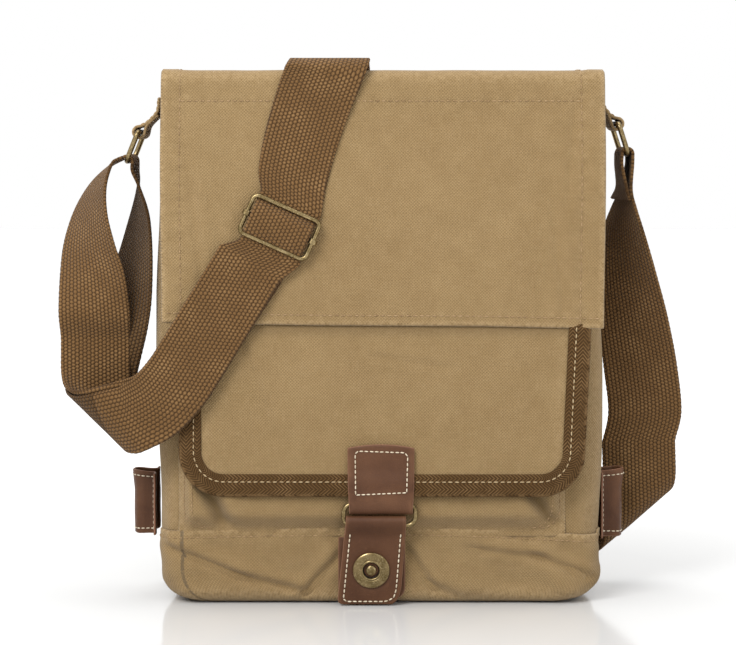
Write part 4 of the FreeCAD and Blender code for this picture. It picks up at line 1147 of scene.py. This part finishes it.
def build_side_loop(side):
    """Leather belt loop standing off the gusset."""
    wall, z0, z1 = SIDE_LOOPS[side]
    # half of its plan, (reach past the wall, y), from the middle to the sewn end
    half = [(14.9, 0.0), (13.2, 5.6), (9.5, 8.0), (5.5, 8.4), (2.2, 9.3), (1.7, 13.0), (1.8, 18.5)]
    pts = [(wall + reach, -y) for reach, y in half[:0:-1]] + [(wall + reach, y) for reach, y in half]
    path, s = resample(catmull(pts, 8), 1.2 * STEP)
    zs = span(z0, z1, 30)[None, :]
    P = join(side * path[:, :1], path[:, 1:], zs)
    reach = smooth(wall + 4, wall + 14, path[:, :1])
    mouth = smooth(z1 - 12, z1, zs)
    P[..., 0] += side * 1.1 * reach * mouth
    P[..., 2] += 1.0 * reach * mouth - 0.4 * reach * (1 - mouth)
    P[..., 0] += side * 0.25 * wobble(P, 12.0, 31)
    d = unit(np.gradient(path, axis=0))
    N = join(d[:, 1:] * side, -d[:, :1], 0 * zs)
    wear = 0.5 * smooth(2, 0.2, np.minimum(zs - z0, z1 - zs)) + 0.35 * reach
    uv = join(s[:, None], P[..., 2])
    word = WORDS[side]
    loop = slab(f"side_loop_{word}_leather", P, 1.5, LEATHER, uv, "bag", normals=N,
                marks={"wear": wear})
    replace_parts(loop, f"side_loop_{word}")
    spots = [(slice(2, -2), int(zs.size * f)) for f in (0.09, 0.91)]
    spots += [(i, slice(2, -2)) for i in (2, len(path) - 3)]
    runs, norms = [P[at] + N[at] * 0.05 for at in spots], [N[at] for at in spots]
    stitches(f"side_loop_{word}_stitches", runs, norms, CREAM, pitch=3.0, length=2.3,
             radius=0.36)


def build_ring_tab(side):
    """Cloth tab sewn to the gusset and folded round the ring's straight bar."""
    ex, ez = RINGS[side]
    wall, fold_r = 132.6, 4.3
    pts = [(wall + 2.4, ez + 20.5), (wall + 2.6, ez + 15.5), (wall + 4.0, ez + 11.5), (ex - 3.4, ez + 5.6),
           (ex + 1.4, ez + 4.1)]
    pts += [vec(ex, ez) + heading(a) * fold_r for a in (55, 20, -20, -60, -100, -140, -170)]
    pts += [(ex - 5.4, ez + 3.2), (wall + 4.6, ez + 7.4), (wall + 2.0, ez + 9.5)]
    path, s = resample(catmull(pts, 6), STEP)
    t = span(-1, 1, 34)[None, :]
    reach, z = path[:, :1], path[:, 1:]
    P = join(side * reach, (16.3 + 1.4 * smooth(ez + 6, ez + 18, z)) * t, z)
    d = unit(np.gradient(path, axis=0))
    N = join(-d[:, 1:] * side, 0 * t, d[:, :1])
    P = P + N * (0.25 * wobble(P, 10.0, 33))[..., None]
    wear = 0.6 * smooth(0.86, 1.0, np.abs(t)) + 0.5 * smooth(ez + 5, ez + 1, z)
    word = WORDS[side]
    uv = join(P[..., 1], s[:, None]) + 2300.0
    tab = slab(f"ring_tab_{word}_cloth", P, 1.7, CANVAS, uv, "bag", normals=N, marks={"wear": wear})
    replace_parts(tab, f"ring_tab_{word}")
    spots = [(slice(1, int(len(path) * 0.4)), int(f * (t.size - 1))) for f in (0.1, 0.9)]
    for level in (ez + 17.5, ez + 12.0):
        spots.append((int(np.argmin(np.abs(path[: len(path) // 3, 1] - level))), slice(2, -2)))
    runs, norms = [P[at] + N[at] * 0.1 for at in spots], [N[at] for at in spots]
    stitches(f"ring_tab_{word}_stitches", runs, norms, THREAD, pitch=3.2)


def dress_metal():
    for node in ("closure_ring", "d_ring_left", "d_ring_right", "slider_frame", "slider_bar"):
        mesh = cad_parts[node].data
        mesh.materials.clear()
        mesh.materials.append(BRASS)


build_loop()
build_tail()
build_snap()
build_tab()
for hand in (-1, 1):
    build_side_loop(hand)
    build_ring_tab(hand)
dress_metal()


# ---------------------------------------------------------------- webbing strap
WEB_T = 1.8
ACROSS = np.linspace(-1, 1, 27)
MIDDLE = len(ACROSS) // 2
# the slider: its centre on the flap, and its lean from upright
SLIDER_X, SLIDER_Z, TILT_DEG = -60.0, 228.0, 24.0
# how far a ring's bar lies from the ring's pivot, the lean of each ring, and the width of webbing on a bar
RING_REACH, RING_LEAN, BAR_W = 19.0, {-1: 22.0, 1: 18.0}, 40.6
# from the middle of a bar to the webbing's: the bar's radius, a gap and half the webbing
LEG = 1.6 + 0.75 + WEB_T / 2
DOWN_Y, UP_Y = (0, -1, 0), (0, 1, 0)


def ring_bar(side):
    """Middle of the D-ring's curved end, where the strap hangs."""
    reach, z = RINGS[side]
    a = math.radians(RING_LEAN[side])
    return vec(side * (reach + math.sin(a) * RING_REACH), 0, z - math.cos(a) * RING_REACH)


LEFT_BAR, RIGHT_BAR = ring_bar(-1), ring_bar(1)


def section(centre, across, width):
    """One straight section of webbing: its centre, the way it lies and its width."""
    return vec(*centre) + unit(vec(*across)) * (ACROSS * width / 2)[:, None]


def sections(stops):
    return [section(*stop) for stop in stops]


def flap_section(x, z, out, lean, width):
    """Section of a band on the flap: heading leans `lean` degrees from straight down towards -X."""
    t = ACROSS * width / 2
    dx, dz = heading(-lean)
    return flap_pt(x + dx * t, z + dz * t, out)


def slider_section(along, out, width=37.5):
    """Section of a band at a distance up the slider from its centre bar."""
    dz, dx = heading(TILT_DEG)
    return flap_section(SLIDER_X + dx * along, SLIDER_Z + dz * along, out, TILT_DEG, width)


def spline_rows(rows, per):
    """Smooth stack of sections through a few of them."""
    rows = np.array(rows)
    return catmull(rows.reshape(len(rows), -1), per).reshape(-1, *rows.shape[1:])


def even_rows(rows, step):
    """Sections spaced evenly along their middle, and the length at each."""
    at = lengths(rows[:, MIDDLE])
    s = np.linspace(0, at[-1], max(4, int(at[-1] / step) + 1))
    flat = rows.reshape(len(rows), -1)
    return join(*[np.interp(s, at, column) for column in flat.T]).reshape(len(s), -1, 3), s


class Roll:
    """A flat strip that wraps half way round an upright-plane cylinder and lies back on itself."""

    def __init__(self, entry, before_deg, after_deg, radius):
        # headings in (x, z) before and after, then the axes along and across the fold
        self.before = -heading(90 - before_deg)
        after = heading(90 - after_deg)
        self.axis = unit(self.before + after)
        self.into = unit(self.before - self.axis * (self.before @ self.axis))
        self.entry, self.radius = vec(*entry), radius

    def place(self, xz):
        """(x, z) of the strip laid flat -> (x, z) once rolled, and the step back in Y."""
        q = xz - self.entry
        d = q @ self.into
        theta = np.clip(d / self.radius, 0, math.pi)
        beyond = np.maximum(d - math.pi * self.radius, 0)
        moved = np.where(d > 0, self.radius * np.sin(theta) - beyond, d)
        out = self.entry + (q @ self.axis)[..., None] * self.axis + moved[..., None] * self.into
        return out, self.radius * (1 - np.cos(theta))

    def straight(self, start, end, width):
        """Flat-pattern sections along the heading at the roll, from `start` to `end` past the entry."""
        side = vec(-self.before[1], self.before[0])
        across = side * (ACROSS * width / 2)[:, None]
        return np.array([self.entry + self.before * v + across for v in np.arange(start, end + 0.01, 2.0)])


def band(name, rows, v0, body, step=1.6, painted_shade=0.0):
    """Webbing through a stack of sections; v0 is its length so far, and the last argument how much painted
    shade darkens it.
    """
    P, s = even_rows(rows, step * STEP)
    grid = P.transpose(1, 0, 2)
    N = grid_normals(grid)
    u = ACROSS[:, None] * np.linalg.norm(P[:, -1] - P[:, 0], axis=1) / 2
    ripple = 0.16 * wobble(grid, 16.0, 41) + 0.3 * wobble(grid, 60.0, 42)
    rib = 0.13 * np.sin((s + v0) * 2 * math.pi / 2.9) * smooth(0.9, 1.0, np.abs(ACROSS))[:, None]
    spread = unit(grid[-1] - grid[0])[None] * (rib * np.sign(ACROSS)[:, None])[..., None]
    outer = grid + N * (WEB_T / 2 + ripple)[..., None] + spread
    # painted shade: the last argument becomes the "shade" mark, which darkens the webbing
    return slab(name, outer, WEB_T, WEBBING, join(u + 24.0, s + v0), body, normals=N,
                marks={"shade": painted_shade}, round_edge=0.3)


# the two rolls at the bottom of the left loop, and the (x, z, lean) route down the flap to them
FRONT_ROLL = Roll((-151.0, 112.2), 75.0, 14.0, 15.2)
UNDER_ROLL = Roll((-149.3, 116.2), 75.0, 0.0, 12.4)
CURVE = [(-77.5, 207.0, 31.0), (-96.0, 176.5, 31.5), (-113.8, 147.5, 33.0), (-122.8, 133.8, 39.0),
         (-135.0, 121.0, 54.0)]


def rolled_rows(roll, curve, out, width, end):
    """The strip from its last free section on the flap, through the roll, to `end` past its entry."""
    free = [vec(x, z) + heading(-lean) * (ACROSS * width / 2)[:, None] for x, z, lean in curve]
    straight = roll.straight(0.0, end, width)
    xz, back = roll.place(np.concatenate([spline_rows(free + [straight[0]], 10), straight[1:]]))
    rows = flap_pt(xz[..., 0], xz[..., 1], out)
    rows[..., 1] += back
    return rows


def join_rows(dense, stops):
    """Dense sections continued smoothly through sparse (centre, across, width) stops."""
    per = 12
    more = spline_rows([dense[-10], dense[-1]] + sections(stops), per)
    return np.concatenate([dense, more[per + 1:]])


def arch_rows(bar, across, start, end):
    """Sections round a ring's bar along Y, angles in degrees from the +X side upwards."""
    way = 1 if end > start else -1
    spots = [heading(a) * LEG for a in np.arange(start, end + 0.1 * way, 12 * way)]
    return sections([(bar + vec(x, 0, z), across, BAR_W) for x, z in spots])


def cut_at(rows, i):
    return rows[: i + 1], rows[i:]


def cut_where(rows, test):
    """Splits a stack of sections at the first one whose centre passes the test."""
    return cut_at(rows, int(np.argmax(test(*rows[:, MIDDLE].T))))


def cut_at_bottom(rows, x_limit=math.inf):
    """Splits a stack of sections at its lowest centre with x below the limit."""
    x, _, z = rows[:, MIDDLE].T
    return cut_at(rows, int(np.argmin(np.where(x < x_limit, z, math.inf))))


def length_of(rows):
    return float(lengths(rows[:, MIDDLE])[-1])


def over_top_rows():
    """From the back panel's top, over the mouth's rear edge, across the top and over the front edge."""
    top = [((-27.5, 32.6, 306.0), (1, 0, 0.16), 43.0), ((-28.0, 32.4, 313.0), (1, 0, 0.12), 43.5),
           ((-28.2, 31.0, 319.5), (1, -0.04, 0.05), 44.0), ((-28.4, 27.6, 324.0), (1, -0.06, 0), 44.0),
           ((-28.6, 20.0, 325.6), (1, -0.08, 0), 44.0), ((-29.0, -2.0, 326.6), (1, -0.1, 0), 44.5),
           ((-29.6, -24.0, 328.4), (1, -0.12, 0), 46.0), ((-30.2, -34.0, 328.2), (1, -0.08, -0.02), 47.5)]
    front = [(-32.0, 323.6, 4.2, 4.0, 47.5), (-34.8, 316.5, 3.2, 12.0, 46.0), (-40.0, 303.0, 2.0, 17.5, 44.5),
             (-47.6, 279.0, 1.6, 15.5, 43.0), (-52.6, 257.0, 1.6, 17.0, 41.0)]
    return sections(top) + [flap_section(*stop) for stop in front]


def front_rows():
    """The top layer: over the mouth, through the slider, round the front roll and up to the left ring."""
    # (along, out, width) over the slider's centre bar
    hump = [(16.5, 2.4, 38.5), (12.6, 3.0, 37.8), (9.4, 5.0, 37.4), (5.2, 8.0, 37.2), (0, 8.5, 37.2),
            (-5.2, 8.0, 37.2), (-9.8, 6.2, 37.4), (-13.2, 4.4, 37.8), (-17.0, 3.7, 38.6)]
    keys = over_top_rows() + [slider_section(*stop) for stop in hump]
    top = spline_rows(keys + [flap_section(-77.5, 207.0, 3.7, 31.0, 40.5)], 8)
    rolled = rolled_rows(FRONT_ROLL, CURVE, 4.0, 41.0, 62.0)
    behind = [((-166.2, -21.0, 152.0), (0.95, -0.16, -0.2), 42.0),
              ((-158.6, -17.0, 174.0), (0.86, -0.5, -0.1), 42.5),
              ((-151.5, -11.0, 200.0), (0.62, -0.78, 0), 42.5),
              ((-147.3, -5.0, 232.0), (0.36, -0.93, 0), 41.5),
              ((-148.2, -1.0, 252.0), (0.1, -1, 0), 41.0),
              (LEFT_BAR + vec(LEG, 0, -6.0), DOWN_Y, BAR_W),
              (LEFT_BAR + vec(LEG, 0, 0), DOWN_Y, BAR_W)]
    return join_rows(np.concatenate([top[:-1], rolled]), behind)


def under_rows():
    """The under layer: from below the slider, round the under roll and up to the left ring."""
    keys = [slider_section(along, 1.1) for along in (-9.6, -13.0, -17.0)]
    start = spline_rows(keys + [flap_section(-77.2, 206.0, 1.1, 31.0, 39.5)], 8)
    curve = [(-77.2, 206.0, 31.0)] + [(x + 1.0, z + 2.0, lean) for x, z, lean in CURVE[1:]]
    rolled = rolled_rows(UNDER_ROLL, curve, 1.1, 41.5, 74.0)
    behind = [((-173.4, -27.6, 176.0), (1, -0.04, 0), 42.5),
              ((-174.8, -24.0, 199.0), (0.92, -0.36, 0), 43.0),
              ((-177.0, -18.5, 217.0), (0.77, -0.63, 0), 43.0),
              ((-177.0, -12.0, 235.0), (0.56, -0.83, 0), 42.5),
              ((-173.0, -6.0, 252.0), (0.33, -0.94, 0), 42.0),
              ((-165.5, -2.0, 264.5), (0.14, -0.99, 0.05), 41.0),
              (LEFT_BAR + vec(-LEG - 2.4, 0, 1.2), DOWN_Y, BAR_W),
              (LEFT_BAR + vec(-LEG * 0.8, 0, 2.4), DOWN_Y, BAR_W)]
    return join_rows(np.concatenate([start[:-1], rolled]), behind)


# the bottom of the left loop is looked for to the left of this
LEFT_LOOP_X = -140.0


def build_front_layer():
    down, up = cut_at_bottom(front_rows(), LEFT_LOOP_X)
    edge_piece, down = cut_where(down, lambda x, y, z: y < 12.0)
    top = band("strap_over_edge", edge_piece, 0.0, None)
    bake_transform(top)
    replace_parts(top, "strap_over_top")
    total = length_of(edge_piece)
    main = band("strap_front_band", down, total, "strap_front")
    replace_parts(main, "strap_over_top", "strap_front_run", "strap_front_turn")
    total += length_of(down)
    hang, near = cut_where(up, lambda x, y, z: z > 251.0)
    # painted shade: the run rising beside the bag to the left ring is darkened
    outer = band("strap_rising_band", hang, total, None, painted_shade=0.55)
    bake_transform(outer)
    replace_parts(outer, "strap_outer_loop", "strap_front_turn")
    neck, _ = cut_where(near, lambda x, y, z: z > LEFT_BAR[2] - 2.0)
    # painted shade: its neck below the ring is darkened a little less
    piece = band("strap_rising_neck", neck, total + length_of(hang), None, step=1.2, painted_shade=0.4)
    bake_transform(piece)
    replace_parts(piece, "strap_outer_neck")


def build_under_layer():
    down, up = cut_at_bottom(under_rows(), LEFT_LOOP_X)
    low = band("strap_under_band", down, 0.0, "strap_front")
    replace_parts(low, "strap_under_layer", "strap_under_turn")
    total = length_of(down)
    hang, near = cut_where(up, lambda x, y, z: z > 256.0)
    inner = band("strap_loop_band", hang, total, None)
    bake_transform(inner)
    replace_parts(inner, "strap_inner_loop", "strap_under_turn")
    piece = band("strap_loop_neck", near, total + length_of(hang), None, step=1.2)
    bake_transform(piece)
    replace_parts(piece, "strap_inner_neck")


def build_ring_folds():
    """The webbing's turns over the two D-rings."""
    start = sections([(LEFT_BAR + vec(LEG, 0, -2.2), UP_Y, BAR_W)])
    arch = np.array(start + arch_rows(LEFT_BAR, UP_Y, 0, 140))
    fold = band("strap_fold_left_band", arch, 10.0, "d_ring_left", step=1.0)
    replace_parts(fold, "strap_fold_left")
    end = sections([(RIGHT_BAR + vec(LEG, 0, -2.2), DOWN_Y, BAR_W)])
    arch = np.array(arch_rows(RIGHT_BAR, DOWN_Y, 180, 0) + end)
    fold = band("strap_fold_right_band", arch, 10.0, "d_ring_right", step=1.0)
    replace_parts(fold, "strap_fold_right")


# the turn at the bottom of the right-hand run, and that run's width and Y
RIGHT_ROLL = Roll((164.0, 57.0), -2.0, -80.0, 10.9)
RIGHT_W, RIGHT_Y = 45.0, 20.0


def right_rows():
    """From the right ring down beside the bag, round the roll and up the back to the mouth."""
    fall = [(RIGHT_BAR + vec(LEG, 0, 0), DOWN_Y, BAR_W), (RIGHT_BAR + vec(LEG, 0, -7.0), DOWN_Y, 40.0),
            ((151.6, 0.0, 250.0), (0.08, -1, 0), 36.0), ((150.8, 3.0, 238.0), (0.28, -0.96, 0), 39.0),
            ((151.0, 7.0, 222.0), (0.52, -0.85, 0), 42.0), ((153.5, 12.0, 198.0), (0.76, -0.64, 0), 43.5),
            ((158.5, 16.5, 168.0), (0.93, -0.36, 0), 44.5), ((163.5, 19.0, 138.0), (1, -0.1, 0), 45.0),
            ((166.6, RIGHT_Y, 110.0), (1, 0, 0), RIGHT_W)]
    xz, back = RIGHT_ROLL.place(RIGHT_ROLL.straight(-34.0, 70.0, RIGHT_W))
    rolled = join(xz[..., 0], RIGHT_Y + back, xz[..., 1])
    run = np.concatenate([spline_rows(sections(fall) + [rolled[0], rolled[4]], 10)[:-11], rolled])
    # (x, z) and slope of the run up the back, just off the back panel
    climb = [(97.0, 54.0, 65.0), (70.0, 72.0, 47.0), (44.0, 106.0, 31.0), (24.0, 152.0, 21.0),
             (4.0, 212.0, 18.0), (-15.0, 268.0, 17.0), (-27.5, 306.0, 9.0)]
    keys = [rolled[-6], rolled[-1]]
    for x, z, slope in climb:
        dx, dz = heading(slope)
        keys.append(section((x, 41.3 - 0.036 * z, z), (dx, 0, dz), 44.0 if z < 250 else 43.0))
    return np.concatenate([run, spline_rows(keys, 12)[13:]])


def build_right():
    down, up = cut_at_bottom(right_rows())
    neck, down = cut_where(down, lambda x, y, z: z < 256.0)
    _, neck = cut_where(neck, lambda x, y, z: z < RIGHT_BAR[2] - 2.0)
    total = 3.0
    piece = band("strap_right_neck_band", neck, total, None, step=1.2)
    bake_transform(piece)
    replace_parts(piece, "strap_right_neck")
    total += length_of(neck)
    fallen = band("strap_right_band", down, total, None)
    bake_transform(fallen)
    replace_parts(fallen, "strap_right_run", "strap_right_turn")
    total += length_of(down)
    behind = band("strap_back_band", up, total, None)
    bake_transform(behind)
    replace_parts(behind, "strap_back_run", "strap_right_turn")
    tail = [(RIGHT_BAR + vec(-LEG, 0, 0), DOWN_Y, BAR_W), (RIGHT_BAR + vec(-LEG, 0, -7.0), DOWN_Y, 40.0),
            ((149.0, 0.3, 252.0), (0.06, -1, 0), 36.5), ((148.6, 1.6, 244.0), (0.2, -0.97, 0), 37.5)]
    end = band("strap_sewn_tail", spline_rows(sections(tail), 10), 60.0, None, step=1.2)
    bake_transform(end)
    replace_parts(end, "strap_sewn_end")


def build_end_fold():
    """The strap's end turned round the slider's centre bar."""
    r, width = 2.3, 36.4
    centre = flap_pt(SLIDER_X, SLIDER_Z, 3.7)
    fall, rise = heading(TILT_DEG)
    up = vec(rise, fall * math.sin(ANG), fall * math.cos(ANG))
    side = vec(fall, -rise * math.sin(ANG), -rise * math.cos(ANG))
    # (along, out) from the bar: up behind it, round it and down in front
    route = [(-4.0, -r), (-2.0, -r), (0, -r)]
    route += [tuple(heading(a) * r) for a in range(-75, 76, 15)]
    route += [(0, r), (-2.0, r), (-4.0, r)]
    rows = np.array(sections([(centre + up * along + NORM * out, side, width) for along, out in route]))
    fold = band("strap_end_fold_band", rows, 30.0, "slider_bar", step=0.9)
    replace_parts(fold, "strap_end_fold")


build_front_layer()
build_under_layer()
build_ring_folds()
build_right()
build_end_fold()


# ---------------------------------------------------------------- stage, light and camera
def aim_at(obj, where, aim):
    obj.location = where
    obj.rotation_euler = (Vector(aim) - Vector(where)).to_track_quat("-Z", "Y").to_euler()


def build_floor():
    """Glossy white acrylic, with painted shade: greyer under the bag than far off."""
    half, z = 6.0, -0.0006
    mesh = bpy.data.meshes.new("floor")
    corners = [(-half, -half, z), (half, -half, z), (half, half, z), (-half, half, z)]
    mesh.from_pydata(corners, [], [(0, 1, 2, 3)])
    g = Graph("white floor")
    apart = g.tree.nodes.new("ShaderNodeVectorMath")
    apart.operation = "LENGTH"
    g.link(g.coord, apart.inputs[0])
    # painted shade: grey near the middle, under the bag, paling to white further out
    colour = g.mix(g.ramp(apart.outputs["Value"], 0.22, 0.55), (0.62, 0.62, 0.615), (0.95, 0.95, 0.95))
    g.feed(g.shader.inputs["Base Color"], colour)
    g.set(Roughness=0.12, Specular_IOR_Level=0.3)
    mesh.materials.append(g.mat)
    add_object("floor", mesh)


def build_lights():
    world = bpy.data.worlds.new("world")
    bpy.context.scene.world = world
    world.use_nodes = True
    back = world.node_tree.nodes["Background"]
    back.inputs["Color"].default_value = (1, 1, 1, 1)
    back.inputs["Strength"].default_value = 1.0
    for name, size, power, where, aim in (
            ("key", 1.1, 46.0, (-0.95, -1.6, 1.7), (0, 0, 0.16)),
            ("fill", 1.6, 7.0, (1.5, -1.4, 0.8), (0, 0, 0.16)),
            ("top", 1.2, 16.0, (0.1, 0.2, 1.9), (0, 0, 0.2))):
        light = bpy.data.lights.new(name, "AREA")
        light.size = size
        light.energy = power
        lamp = add_object(name, light)
        aim_at(lamp, where, aim)


def build_camera():
    """Camera at the product-shot angle: a little above, square to the front."""
    cam = bpy.data.cameras.new("camera")
    distance, elevation, view_width = 1.5, math.radians(4.3), 0.4416
    aim = Vector((-0.0072, -0.045, 0.1711))
    obj = add_object("camera", cam)
    aim_at(obj, aim + Vector((0, -math.cos(elevation), math.sin(elevation))) * distance, aim)
    cam.sensor_width = 36.0
    cam.lens = cam.sensor_width * distance / view_width
    cam.clip_start, cam.clip_end = 0.05, 30.0
    bpy.context.scene.camera = obj


bpy.context.scene.view_settings.view_transform = "Standard"
build_floor()
build_lights()
build_camera()
